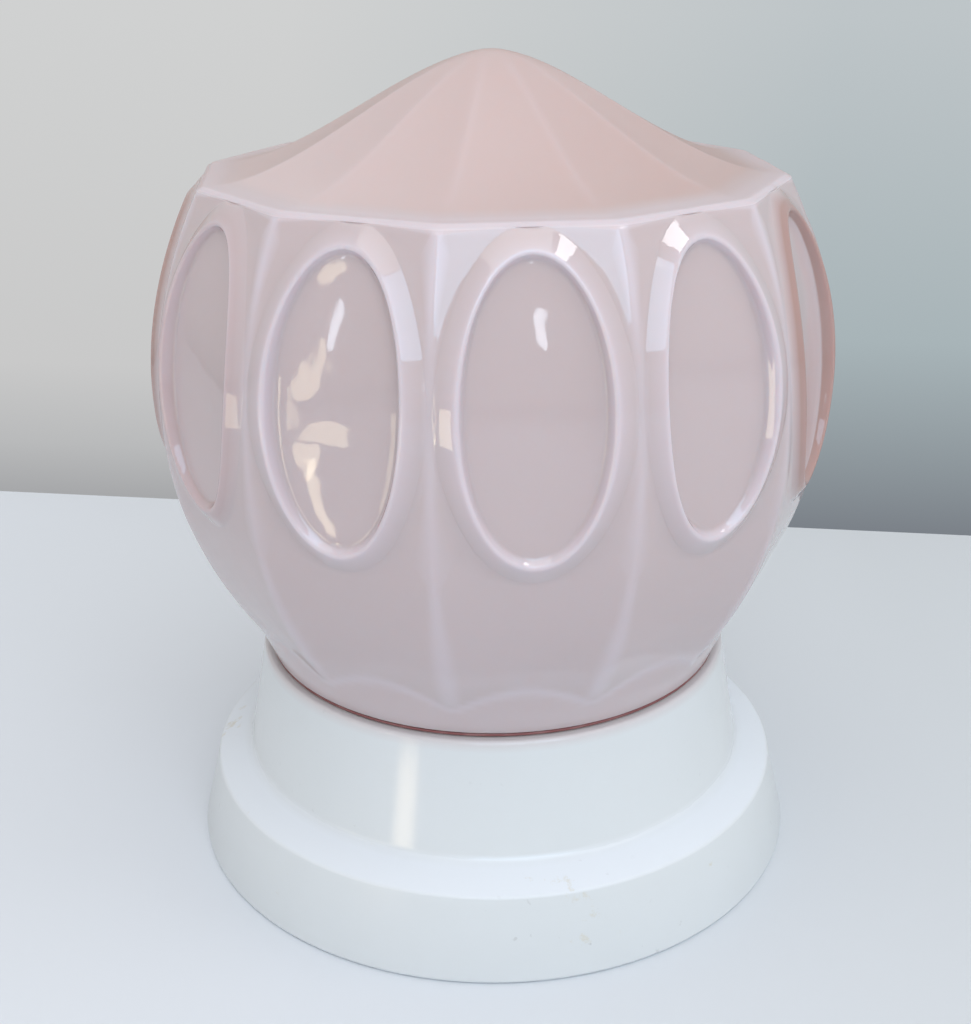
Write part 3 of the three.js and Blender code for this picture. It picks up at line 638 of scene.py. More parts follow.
@dataclass(frozen=True)
class Thread:
    """Round screw thread."""

    pitch: float
    height: float
    fade: float

    def wind(
        self, vertices: Sequence[Vertex], inside: Callable[[float], bool], low: float, high: float
    ) -> None:
        """Raises the thread on turned walls by moving their vertices in or out.

        Args:
            vertices: Vertices of the turned piece.
            inside: Whether a vertex at this radius belongs to the thread.
            low: Height at which the thread starts.
            high: Height at which it ends.
        """
        for vertex in vertices:
            radius, z = vertex.co.xy.length, vertex.co.z
            if radius > 0 and low < z < high and inside(radius):
                turn = math.atan2(vertex.co.y, vertex.co.x) / FULL_TURN
                strength = smooth(z, low, low + self.fade) * (1 - smooth(z, high - self.fade, high))
                wave = math.cos(FULL_TURN * (z / self.pitch - turn))
                vertex.co.xy *= (radius + self.height * strength * wave) / radius


# Threads, with half their depth: glass thread, its hollow in the base's mouth, and E27
GLASS_THREAD = Thread(4.2, 0.35, 2)
MOUTH_THREAD = Thread(4.2, -0.35, 2)
CAP_THREAD = Thread(3.62, 0.28, 1.5)


# Base


@dataclass
class LampBase:
    """Two-tier moulded base with the threaded mouth, its seal and the cable inlet."""

    radius: float = 65
    height: float = 43.6
    skirt_height: float = 17.2
    skirt_draft: float = 3.8
    wall: float = 3
    ledge_rise: float = 2.8
    tier_foot: float = 53.6
    tier_top: float = 49.6
    edge: float = 0.9
    foot_fillet: float = 1.2
    fillet_points: tuple[Pair, ...] = ((1.6, -0.36), (0.7, -0.1), (0.1, 0.35), (-0.16, 1))
    floor_level: float = 12.4
    floor: float = 3
    mouth: float = 42.8
    mouth_depth: float = 15
    mouth_wall: float = 2.6
    thread_ends: Pair = (1.5, 1)
    ribs: int = 8
    rib: Pair = (1.6, 7.5)
    rib_reach: Pair = (27, 51.6)
    slot_offset: float = 37
    slot_size: Pair = (13, 5.2)
    screw_offset: float = 23
    screw_hole: float = 2.3
    nut_room: float = 7.6
    boss_wall: float = 1.8
    boss_height: float = 6
    nut_top: float = 10
    cable_offset: float = 37.856
    cable_hole: float = 4.7
    inlet_flange: float = 0.9
    inlet_bore: float = 3.5
    inlet_lip: float = 1.6
    inlet_rounds: Pair = (0.5, 0.6)
    steps: int = 192
    gap: float = 0.3
    seal_height: float = 0.6
    seal_outer: float = 47.95

    def skirt_radius(self, z: float) -> float:
        """Outer radius of the lower tier at a height."""
        return self.radius - self.skirt_draft * z / self.skirt_height

    def outline(self) -> list[Pair]:
        """Half section from the floor's underside out round the skirt, tiers and mouth."""
        foot = self.skirt_height + self.ledge_rise
        top = self.height
        ledge = self.skirt_radius(self.skirt_height)
        cavity = self.skirt_radius(self.floor_level) - self.wall
        mouth_low = top - self.mouth_depth
        sleeve = self.mouth + self.mouth_wall
        sleeve_top = top - self.wall
        slope = (self.tier_top - self.tier_foot) / (top - foot)
        cup_top = self.tier_foot + slope * (sleeve_top - foot) - self.wall
        edge, fillet = self.edge, self.foot_fillet
        threads = [(self.mouth, z) for z in spread(top - edge / 2, mouth_low, 30)]
        return [
            (0, self.floor_level),
            *arc((cavity - edge, self.floor_level - edge), edge, 90, 0, 4),
            (self.skirt_radius(0) - self.wall, 0),
            *arc((self.radius - edge, edge), edge, -90, 0, 6),
            *arc((ledge - edge, self.skirt_height - edge), edge, 6, 76, 7),
            *((self.tier_foot + fillet * out, foot + fillet * up) for out, up in self.fillet_points),
            *arc((self.tier_top - edge, top - edge), edge, 6, 90, 7),
            (self.mouth + edge / 2, top),
            *threads,
            (sleeve, mouth_low),
            (sleeve, sleeve_top),
            (cup_top, sleeve_top),
            (self.tier_foot - self.wall, foot),
            *arc((self.tier_foot - self.wall - edge, self.floor_level + self.floor + edge), edge, 0, -90, 4),
            (0, self.floor_level + self.floor),
        ]

    def rib_tool(self, index: int) -> Piece:
        """Upright rib under the floor, with its outer lower corner rounded off."""
        made = Piece("rib")
        low, high = self.floor_level - self.rib[1], self.floor_level + self.floor / 2
        inner, outer = self.rib_reach
        outline = [(inner, low), *arc((outer - 2, low + 2), 2, -90, 0, 6), (outer, high), (inner, high)]
        rim = made.wire([(x, -self.rib[0] / 2, z) for x, z in outline], True)
        made.draw_out(bmesh.ops.contextual_create(made.mesh, geom=rim)["faces"], (0, self.rib[0], 0))
        made.shift(ORIGIN, (index + 0.5) / self.ribs * FULL_TURN)
        return made

    def fixings(self) -> list[tuple[Piece, Carving]]:
        """Ribs and bosses to join, then the pockets, holes and slots to cut."""
        low, high = self.floor_level, self.floor_level + self.floor
        tools = [(self.rib_tool(i), Carving.JOIN) for i in range(self.ribs)]
        corner = self.nut_room / 2 / math.cos(math.pi / 6)
        for side in (-1, 1):
            spot = (0, side * self.screw_offset)
            bottom, top = low - self.boss_height, low + self.floor / 2
            boss = cylinder("boss", corner + self.boss_wall, bottom, top, spot)
            pocket = cylinder("pocket", corner, bottom - 2, self.nut_top, spot, 6)
            hole = cylinder("hole", self.screw_hole, 0, high + 2, spot)
            tools += [(boss, Carving.JOIN), (pocket, Carving.CUT), (hole, Carving.CUT)]
            tools.append((self.slot_tool(side), Carving.CUT))
        tools.append((cylinder("inlet", self.cable_hole, 0, high + 2, (0, self.cable_offset)), Carving.CUT))
        return tools

    def slot_tool(self, side: int) -> Piece:
        """Round-ended slot for a ceiling screw."""
        made = Piece("slot")
        length, width = self.slot_size
        bmesh.ops.create_circle(made.mesh, cap_ends=True, segments=48, radius=width / 2)
        for vertex in made.mesh.verts:
            vertex.co.x += math.copysign((length - width) / 2, vertex.co.x)
        made.draw_out(list(made.mesh.faces), (0, 0, self.floor_level + self.floor + 2))
        made.shift((side * self.slot_offset, 0, 0))
        return made

    def build(self, plastic: Material, seal_rubber: Material, inlet_rubber: Material) -> None:
        """Makes the moulded base, the seal and the cable inlet."""
        self.build_housing(plastic)
        self.build_seal(seal_rubber)
        self.build_inlet(inlet_rubber)

    def build_housing(self, plastic: Material) -> None:
        """Makes the base, which is one moulding on the real lamp."""
        housing = Piece("base_housing_moulding")
        skin = housing.turn(self.outline(), self.steps, closed=False)
        low = self.height - self.mouth_depth + self.thread_ends[0]
        high = self.height - self.thread_ends[1]
        MOUTH_THREAD.wind(skin, lambda r: abs(r - self.mouth) < 0.01, low, high)
        housing.carve(self.fixings())
        housing.finish(Body.BASE, plastic, Slot.BASE, 34, "base_skirt", "base_gallery", "base_floor")

    def build_seal(self, rubber: Material) -> None:
        """Makes the seal, a flat ring with round lips."""
        lip = self.seal_height / 2
        bottom = self.height + self.gap
        outline = [
            (self.mouth + lip, bottom),
            *arc((self.seal_outer - lip, bottom + lip), lip, -90, 90, 8),
            *arc((self.mouth + lip, bottom + lip), lip, 90, 270, 8)[:-1],
        ]
        seal = turned("shade_seal_ring", outline, self.steps)
        seal.finish(Body.SEAL, rubber, Slot.SEAL_RUBBER, 50, "shade_seal")

    def build_inlet(self, rubber: Material) -> None:
        """Makes the cable inlet, which grips the floor between two flanges."""
        throat, flange = self.cable_hole - self.gap, self.cable_hole + self.inlet_flange
        low, high = self.floor_level - self.gap, self.floor_level + self.floor + self.gap
        bore, lip = self.inlet_bore, self.inlet_lip
        inner, outer = self.inlet_rounds
        outline = [
            *arc((bore + inner, low - lip + inner), inner, 180, 270, 4),
            *arc((flange - outer, low - lip + outer), outer, -90, 0, 5),
            (flange, low),
            (throat, low),
            (throat, high),
            (flange, high),
            *arc((flange - outer, high + lip - outer), outer, 0, 90, 5),
            *arc((bore + inner, high + lip - inner), inner, 90, 180, 4),
        ]
        inlet = turned("cable_grommet_moulding", outline, 64, centre=(0, self.cable_offset))
        inlet.finish(Body.BASE, rubber, Slot.GROMMET_RUBBER, 40, "cable_grommet")


# Glass shade


@dataclass
class GlassShade:
    """Pressed glass shade: twelve facets with oval dishes, a flat rim and a creased crown."""

    facets: int = 12
    turn_degrees: float = 6.3
    ridge: float = 67.2
    height: float = 96.4
    shoulder: float = 44.8
    crown_height: float = 22.4
    collar: float = 48.1
    collar_fold: float = 50.29
    collar_lean: float = 0.52
    collar_height: float = 5.4
    rim: float = 56.9
    rim_lift: float = 0.55
    widest_share: float = 0.57
    bulge_power: float = 2.15
    ogee_power: float = 1.62
    crease_fade: Pair = (0.05, 0.45)
    crease_hollow: float = 1.3
    hollow_shares: Pair = (0.7, 0.86)
    rim_lift_shares: Pair = (0.979, 1.0)
    rim_shares: Pair = (0.95, 1.0)
    point_share: float = 0.3
    ridge_crispness: float = 190
    bowl_crispness: float = 114
    crease_crispness: float = 260
    fold_softness: float = 0.14
    fold_reach: Pair = (-0.9, 0.1)
    line_reach: Pair = (0.05, 0.6)
    line_rows: Pair = (0.25, 0.5)
    field_fade: Pair = (0, 0.3)
    dish: Pair = (12.9, 25.5)
    dish_margin: float = 3.4
    dish_centre: float = 1.3
    dish_side_rise: float = 0.7
    dish_end_rise: float = 1.7
    dish_wall: Pair = (1.22, 0.49)
    ring_height: float = 1.7
    ring_band: float = 3.8
    ring_round: float = 0.45
    crest_radius: float = 0.8
    crest_middle: float = 0.25
    field_margin: float = 5.5
    wall: float = 3.1
    crown_wall: float = 3.4
    neck: float = 41.2
    neck_length: float = 13
    neck_wall: float = 3.8
    thread_ends: Pair = (1.2, 1)
    lip_round: float = 0.6
    rings: int = 24
    inner_steps: int = 160
    wall_runs: tuple[Pair, ...] = ((-1.1, 0.0), (-0.45, 0.02), (-0.05, 0.1), (0.3, 0.36), (0.65, 0.68))
    flank_runs: tuple[float, ...] = (0.14, 0.3, 0.5, 0.75, 0.94, 1.0)
    flat_runs: tuple[float, ...] = (0.45, 0.85)
    rim_rows: tuple[float, ...] = (0, 0.004, 0.010, 0.016, 0.022, 0.035, 0.06, 0.1)
    inside_share: float = 0.96
    inside_rows: tuple[float, ...] = (0.74, 0.64, 0.54, 0.45, 0.36, 0.27, 0.18, 0.1, 0.04, 0)
    # Painted highlights: shares of the lighter edge colour on rim, dish crest and wall, ridges, creases, fold
    # and collar; the ring's values also mark raised glass
    rim_painted_highlight: float = 0.78
    ring_painted_highlights_and_raised: tuple[float, ...] = (
        *(0.0, 0.04, 0.22, 0.5, 0.78),
        *(0.86, 0.86, 0.86, 0.86, 0.8, 0.62),
        *(0.42, 0.32, 0.22, 0.12, 0.05, 0.0, 0.0, 0.0),
    )
    ridge_painted_highlights: Pair = (0.4, 0.85)
    ridge_painted_highlight_levels: Pair = (121, 134)
    ridge_painted_highlight_reach: Pair = (0.2, 1.7)
    bowl_painted_highlight_reach: float = 3.2
    crease_painted_highlight_reach: Pair = (0.2, 1.6)
    crease_starts: Pair = (0.06, 0.2)
    crease_ends: Pair = (0.78, 0.9)
    rim_painted_highlight_rows: Pair = (0.025, 0.13)
    fold_painted_highlight: float = 0.45
    collar_painted_highlight: float = 0.06
    crease_painted_highlight: float = 0.1

    def __post_init__(self) -> None:
        """Works out the levels that follow from the sizes."""
        self.half_facet = math.pi / self.facets
        self.rim_level = self.shoulder + self.height
        self.widest = self.shoulder + self.height * self.widest_share
        self.dish_level = self.rim_level - self.dish_margin - self.dish[1]
        self.field_low = self.dish_level - self.dish[1] - self.field_margin

    def ridge_radius(self, z: float) -> float:
        """Radius of the ridges between facets at a height."""
        upper = z > self.widest
        end = self.rim if upper else self.collar_fold
        span = self.rim_level - self.widest if upper else self.widest - self.shoulder - self.collar_height
        return self.ridge - (self.ridge - end) * (abs(z - self.widest) / span) ** self.bulge_power

    def facet_distance(self, z: float) -> float:
        """Distance of a facet's middle line from the axis at a height."""
        return self.ridge_radius(z) * math.cos(self.half_facet)

    def rounding(self, angle: float, crispness: float) -> float:
        """Share of the radius that stays where two facets meet in a soft ridge."""
        across = math.cos(2 * self.half_facet - abs(angle)) / math.cos(angle)
        return (1 + across**crispness) ** (-1 / crispness)

    def collar_radius(self, z: float) -> float:
        """Radius of the round collar at a height."""
        return blend(self.collar_fold, self.ridge_radius(z), self.collar_lean)

    def facet_point(self, x: float, z: float, relief: float) -> Vector:
        """Point on the facet that faces front, with its height over the facet's plane."""
        out = self.facet_distance(z) + relief
        keep = self.rounding(math.atan2(abs(x), out), self.ridge_crispness)
        return Vector((x * keep, -out * keep, z))

    def dish_height(self, x: float, up: float) -> float:
        """Height of the dish's floor over the facet's plane."""
        side, end = (x / self.dish[0]) ** 2, (up / self.dish[1]) ** 2
        return self.dish_side_rise * side + self.dish_end_rise * end - self.dish_centre

    def flank_height(self, distance: float) -> float:
        """Height of the ring's outer flank, by the distance from the dish's edge."""
        fall = (distance - self.ring_round) / (self.ring_band - self.ring_round)
        return self.ring_height * min(max(1 - fall, 0), 1)

    def border_distance(self, x: float, up: float) -> float:
        """Distance of a border point from the dish's edge, along the ray from its middle."""
        return math.hypot(x, up) * (1 - 1 / math.hypot(x / self.dish[0], up / self.dish[1]))

    def border(self, u: float, v: float) -> Pair:
        """Border point of the field for a point on the unit square's rim."""
        z = blend(self.field_low, self.rim_level, (v + 1) / 2)
        return self.facet_distance(z) * math.tan(self.half_facet) * u, z - self.dish_level

    def section(self, room: float) -> list[tuple[float, float, float, float]]:
        """Cross-section of dish wall, crest, flank and the flat beyond it.

        Args:
            room: Distance from the dish's edge to the field's border.

        Returns:
            Distance from the edge, share and height above the dish's floor, and painted highlight, also the
            raised tint.
        """
        foot, shoulder = self.dish_wall
        centre = (self.crest_middle, self.ring_height - self.crest_radius)
        crest = [(x, 1.0, z) for x, z in arc(centre, self.crest_radius, 158, 64, 5)]
        wall_top = crest[0][2]
        wall = [(blend(-foot, -shoulder, run), share, wall_top) for run, share in self.wall_runs]
        band = min(self.ring_band, room * 0.9)
        outs = [blend(crest[-1][0], band, run) for run in self.flank_runs]
        flank = [(out, 1.0, self.flank_height(out)) for out in outs]
        flat = [(blend(band, room, run), 1.0, 0.0) for run in self.flat_runs]
        rows = [*wall, *crest, *flank, *flat]
        return [(*row, tint) for row, tint in zip(rows, self.ring_painted_highlights_and_raised, strict=True)]

    def ridge_painted_highlight(self, x: float, z: float) -> float:
        """Painted highlight of the soft ridge between facets, at a point of the facet."""
        strength = blend(*self.ridge_painted_highlights, smooth(z, *self.ridge_painted_highlight_levels))
        away = self.facet_distance(z) * math.tan(self.half_facet) - abs(x)
        return strength * (1 - smooth(away, *self.ridge_painted_highlight_reach))

    def dish_vertex(self, u: float, v: float) -> tuple[Vector, float, float]:
        """Place of a grid point of the field, with its raised tint and painted highlight.

        Args:
            u: Across the square grid, from -1 to 1.
            v: Up the square grid, from -1 to 1.

        Returns:
            The point, its raised tint and its painted highlight.
        """
        ring = round(max(abs(u), abs(v)) * self.rings)
        if ring == 0:
            return self.facet_point(0, self.dish_level, self.dish_height(0, 0)), 0.0, 0.0
        scale = self.rings / ring
        x, up = self.border(u * scale, v * scale)
        length = math.hypot(x, up)
        room = self.border_distance(x, up)
        rim = length - room
        if ring == self.rings:
            z = self.dish_level + up
            edge = max(self.ridge_painted_highlight(x, z), self.rim_painted_highlight if v > 0.999 else 0.0)
            return self.facet_point(x, z, self.flank_height(room)), 0.0, edge
        rows = self.section(room)
        inner = self.rings - len(rows) - 1
        if ring <= inner:
            reach = ring / (inner + 1) * (1 + rows[0][0] / rim) * rim / length
            x, up = x * reach, up * reach
            return self.facet_point(x, self.dish_level + up, self.dish_height(x, up)), 0.0, 0.0
        distance, share, height, raised = rows[ring - inner - 1]
        reach = (rim + distance) / length
        x, up = x * reach, up * reach
        z = self.dish_level + up
        relief = blend(self.dish_height(x, up), height, share)
        return self.facet_point(x, z, relief), raised, max(raised, self.ridge_painted_highlight(x, z))

    def add_field(self, piece: Piece) -> None:
        """Adds one facet's oval field as a grid moved into relief."""
        # The edge layer holds the painted highlight
        raised, edge = (piece.mesh.verts.layers.float[name] for name in ("raised", "edge"))
        count = 2 * self.rings
        grid = bmesh.ops.create_grid(piece.mesh, x_segments=count, y_segments=count, size=1)
        for vertex in grid["verts"]:
            vertex.co, vertex[raised], vertex[edge] = self.dish_vertex(vertex.co.x, vertex.co.y)

    def column_angle(self, u: float) -> float:
        """Angle from the facet's middle for a column of the bowl and crown."""
        return math.atan(math.tan(self.half_facet) * u)

    def bowl_vertex(self, u: float, v: float) -> tuple[Vector, float]:
        """Point of the lower bowl, where the facets fold into the round collar, and its painted highlight.

        Args:
            u: Across the facet, from -1 to 1.
            v: From 0 at the dishes' field to 1 at the collar's foot.

        Returns:
            The point and its painted highlight.
        """
        angle = self.column_angle(u)
        z = blend(self.field_low, self.shoulder, v)
        away = smooth(v, *self.field_fade)
        flat = self.facet_distance(z) / math.cos(angle) * self.rounding(angle, self.bowl_crispness)
        flat = blend(self.facet_point(flat * math.sin(angle), z, 0).xy.length, flat, away)
        round_radius = self.collar_radius(z)
        middle, apart = (flat + round_radius) / 2, (flat - round_radius) / 2
        radius = middle + math.hypot(apart, self.fold_softness * away)
        near, far = self.ridge_painted_highlight_reach
        far = blend(far, self.bowl_painted_highlight_reach, smooth(v, 0, 0.5))
        soft = 1 - smooth((self.half_facet - abs(angle)) * radius, near, far)
        fold = 1 - smooth(round_radius - flat, *self.fold_reach)
        line = (1 - smooth(abs(round_radius - flat), *self.line_reach)) * smooth(v, *self.line_rows)
        # Painted highlight along ridges and the fold, and a faint one on the collar
        tint = max(self.fold_painted_highlight * soft * fold, self.collar_painted_highlight * (1 - fold), self.fold_painted_highlight * line)
        return Vector((radius * math.sin(angle), -radius * math.cos(angle), z)), tint

    def crown_level(self, share: float) -> float:
        """Height of the crown by its share of the rim's radius."""
        rise = self.crown_height * (1 - share**self.ogee_power) ** 2
        lip = self.rim_lift * (1 - smooth(share, *self.rim_lift_shares))
        return self.rim_level + (math.hypot(rise, lip) if share > self.point_share else rise)

    def crown_vertex(self, u: float, v: float) -> tuple[Vector, float]:
        """Point of the rim and crown, and its painted highlight.

        Args:
            u: Across the facet, from -1 to 1.
            v: From 0 at the rim to 1 at the crown's point.

        Returns:
            The point and its painted highlight.
        """
        angle = self.column_angle(u)
        x = self.facet_distance(self.rim_level) * math.tan(angle)
        room = self.border_distance(x, self.rim_level - self.dish_level)
        start = self.facet_point(x, self.rim_level, self.flank_height(room))
        if v == 0:
            return start, self.rim_painted_highlight
        share = 1 - v
        flat = math.cos(self.half_facet) / math.cos(angle) * self.rounding(angle, self.crease_crispness)
        hollow = blend(self.crease_hollow, 1, smooth(share, *self.hollow_shares))
        radius = self.rim * share * blend(1, flat, hollow * smooth(share, *self.crease_fade))
        radius = blend(radius, start.xy.length * share, smooth(share, *self.rim_shares))
        crease = 1 - smooth((self.half_facet - abs(angle)) * radius, *self.crease_painted_highlight_reach)
        crease *= smooth(share, *self.crease_starts) * (1 - smooth(share, *self.crease_ends))
        # Painted highlight on the rim and along the crown's creases
        tint = max(self.rim_painted_highlight * (1 - smooth(v, *self.rim_painted_highlight_rows)), self.crease_painted_highlight * crease)
        return Vector((radius * math.sin(angle), -radius * math.cos(angle), self.crown_level(share))), tint

    def add_strip(self, piece: Piece, rows: Sequence[float], place: Placing) -> None:
        """Adds a strip of one facet's width as a grid, moved row by row.

        Args:
            piece: The shade.
            rows: Position of each row, from 0 to 1.
            place: Gives a point and its painted highlight for the column, from -1 to 1, and the row.
        """
        edge = piece.mesh.verts.layers.float["edge"]
        count = len(rows) - 1
        grid = bmesh.ops.create_grid(piece.mesh, x_segments=2 * self.rings, y_segments=count, size=1)
        for vertex in grid["verts"]:
            row = rows[round((vertex.co.y + 1) / 2 * count)]
            vertex.co, vertex[edge] = place(vertex.co.x, row)

    def mark_core(self, piece: Piece) -> None:
        """Stores on each vertex which way the facet that it belongs to faces."""
        core = piece.mesh.verts.layers.float_vector.new("core")
        first, step = math.radians(self.turn_degrees), 2 * self.half_facet
        for vertex in piece.mesh.verts:
            facet = first + step * round((math.atan2(vertex.co.x, -vertex.co.y) - first) / step)
            vertex[core] = Vector((math.sin(facet), -math.cos(facet), 0))

    def inner_outline(self) -> list[Pair]:
        """Half section of the neck and the inside, from the collar's foot to the crown's point."""
        lip = self.shoulder - self.neck_length
        bore = self.neck - self.neck_wall
        recess = self.dish_centre + self.wall
        bevel, collar_top = self.lip_round, self.shoulder + self.collar_height
        levels = spread(self.shoulder, self.shoulder + self.height * self.inside_share, 24)[1:]
        return [
            *((self.neck, z) for z in spread(self.shoulder, lip + 0.8, 26)),
            (self.neck - bevel, lip),
            (bore + bevel, lip),
            (bore, lip + bevel),
            (bore, self.shoulder - 1),
            *((self.facet_distance(max(z, collar_top)) - recess, z) for z in levels),
            *((self.rim * share, self.crown_level(share) - self.crown_wall) for share in self.inside_rows),
        ]

    def build(self, glass: Material) -> None:
        """Makes the shade as one closed shell and turns it to the photograph's side."""
        shade = Piece("glass_shade_pressed")
        # raised marks the raised ring; edge holds the painted highlight
        for name in ("raised", "edge"):
            shade.mesh.verts.layers.float.new(name)
        self.add_field(shade)
        self.add_strip(shade, spread(0, 1, 30), self.bowl_vertex)
        self.add_strip(shade, [*self.rim_rows, *spread(0.14, 1, 26)], self.crown_vertex)
        facet = [*shade.mesh.verts, *shade.mesh.edges, *shade.mesh.faces]
        more = self.facets - 1
        spin = {"cent": ORIGIN, "axis": UP, "angle": FULL_TURN * more / self.facets, "steps": more}
        bmesh.ops.spin(shade.mesh, geom=facet, use_duplicate=True, **spin)
        bmesh.ops.remove_doubles(shade.mesh, verts=shade.mesh.verts, dist=0.02)
        collar_edges = [e for e in shade.mesh.edges if e.is_boundary]
        skin = shade.turn(self.inner_outline(), self.inner_steps, closed=False)
        low = self.shoulder - self.neck_length + self.thread_ends[0]
        high = self.shoulder - self.thread_ends[1]
        GLASS_THREAD.wind(skin, lambda r: abs(r - self.neck) < 0.01, low, high)
        bmesh.ops.remove_doubles(shade.mesh, verts=skin, dist=0.004)
        neck_edges = [e for e in shade.mesh.edges if e.is_boundary and e not in set(collar_edges)]
        bmesh.ops.bridge_loops(shade.mesh, edges=[*collar_edges, *neck_edges])
        shade.close()
        shade.shift(ORIGIN, math.radians(self.turn_degrees))
        self.mark_core(shade)
        shade.finish(Body.SHADE, glass, Slot.SHADE_GLASS, 60, "glass_shade")


# Lampholder


@dataclass
class Lampholder:
    """Porcelain lampholder with its threaded brass shell."""

    foot: float = 15.7
    floor: float = 18.8
    seat: float = 22.4
    foot_radius: float = 27
    foot_height: float = 8.4
    height: float = 30.4
    bore: float = 14.7
    wall: float = 4.4
    edge: float = 1.2
    chamber: float = 10
    shell: float = 13.75
    shell_wall: float = 0.45
    shell_length: float = 23.8
    shell_flange: float = 3
    screw_offset: float = 23
    screw_room: Pair = (2.3, 3.95)
    head_level: float = 21.2
    gap: float = 0.3
    terminal: Pair = (7.8, 8.4)
    strip_room: float = 5.6
    driver_hole: float = 2.85
    lip_round: float = 0.5
    foot_fillet: float = 0.8

    def build(self, porcelain: Material, brass: Material) -> None:
        """Makes the body and the shell."""
        self.build_body(porcelain)
        self.build_shell(brass)

    def build_body(self, porcelain: Material) -> None:
        """Makes the body, with its chamber, terminal pockets and screw holes."""
        foot_top, top, outer = self.foot + self.foot_height, self.foot + self.height, self.bore + self.wall
        lip, edge, fillet = self.lip_round, self.edge, self.foot_fillet
        outline = [
            (0, self.foot),
            *arc((self.foot_radius - lip, self.foot + lip), lip, -90, 0, 4),
            *arc((self.foot_radius - edge, foot_top - edge), edge, 0, 90, 8),
            *arc((outer + fillet, foot_top + fillet), fillet, 270, 180, 5),
            *arc((outer - edge, top - edge), edge, 0, 90, 8),
            *arc((self.bore + lip, top - lip), lip, 90, 180, 4),
            (self.bore, self.seat),
            (self.chamber, self.seat),
            (self.chamber, self.floor),
            (0, self.floor),
        ]
        body = Piece("lampholder_body_glazed")
        body.turn(outline, 128, closed=False)
        inner = self.bore + self.wall / 2
        pocket = inner + self.gap + self.terminal[0] / 2
        room, way = (self.foot_radius, self.terminal[1] + 2 * self.gap), (inner + 2, self.strip_room)
        over = foot_top + 2
        tools = []
        for side in (-1, 1):
            spot = (0, side * self.screw_offset)
            tools += [
                box("pocket", room, self.floor, over, (side * (inner + self.foot_radius / 2), 0)),
                box("strip_way", way, self.floor, self.seat, (side * inner / 2, 0)),
                cylinder("driver_way", self.driver_hole, foot_top - 2, top + 2, (side * pocket, 0), 40),
                cylinder("screw_way", self.screw_room[0], self.foot - 3, over, spot, 40),
                cylinder("screw_sink", self.screw_room[1], self.head_level, over, spot, 40),
            ]
        body.carve([(tool, Carving.CUT) for tool in tools])
        body.finish(Body.BASE, porcelain, Slot.PORCELAIN, 34, "lampholder_body")

    def build_shell(self, brass: Material) -> None:
        """Makes the shell, with its rolled thread and turned-in flange."""
        outer = self.shell + self.shell_wall
        low = self.seat + self.gap
        rise = spread(low + self.shell_wall, low + self.shell_length, 48)
        outline = [
            (outer - self.shell_flange, low),
            (outer, low),
            *((outer, z) for z in rise),
            *((self.shell, z) for z in reversed(rise)),
            (outer - self.shell_flange, low + self.shell_wall),
        ]
        shell = Piece("lampholder_shell_rolled")
        skin = shell.turn(outline, 96)
        CAP_THREAD.wind(skin, lambda r: r > self.shell - 0.1, low + 1, rise[-1] - 0.6)
        shell.close()
        shell.finish(Body.BASE, brass, Slot.BRASS, 50, "lampholder_shell")


# Bulb


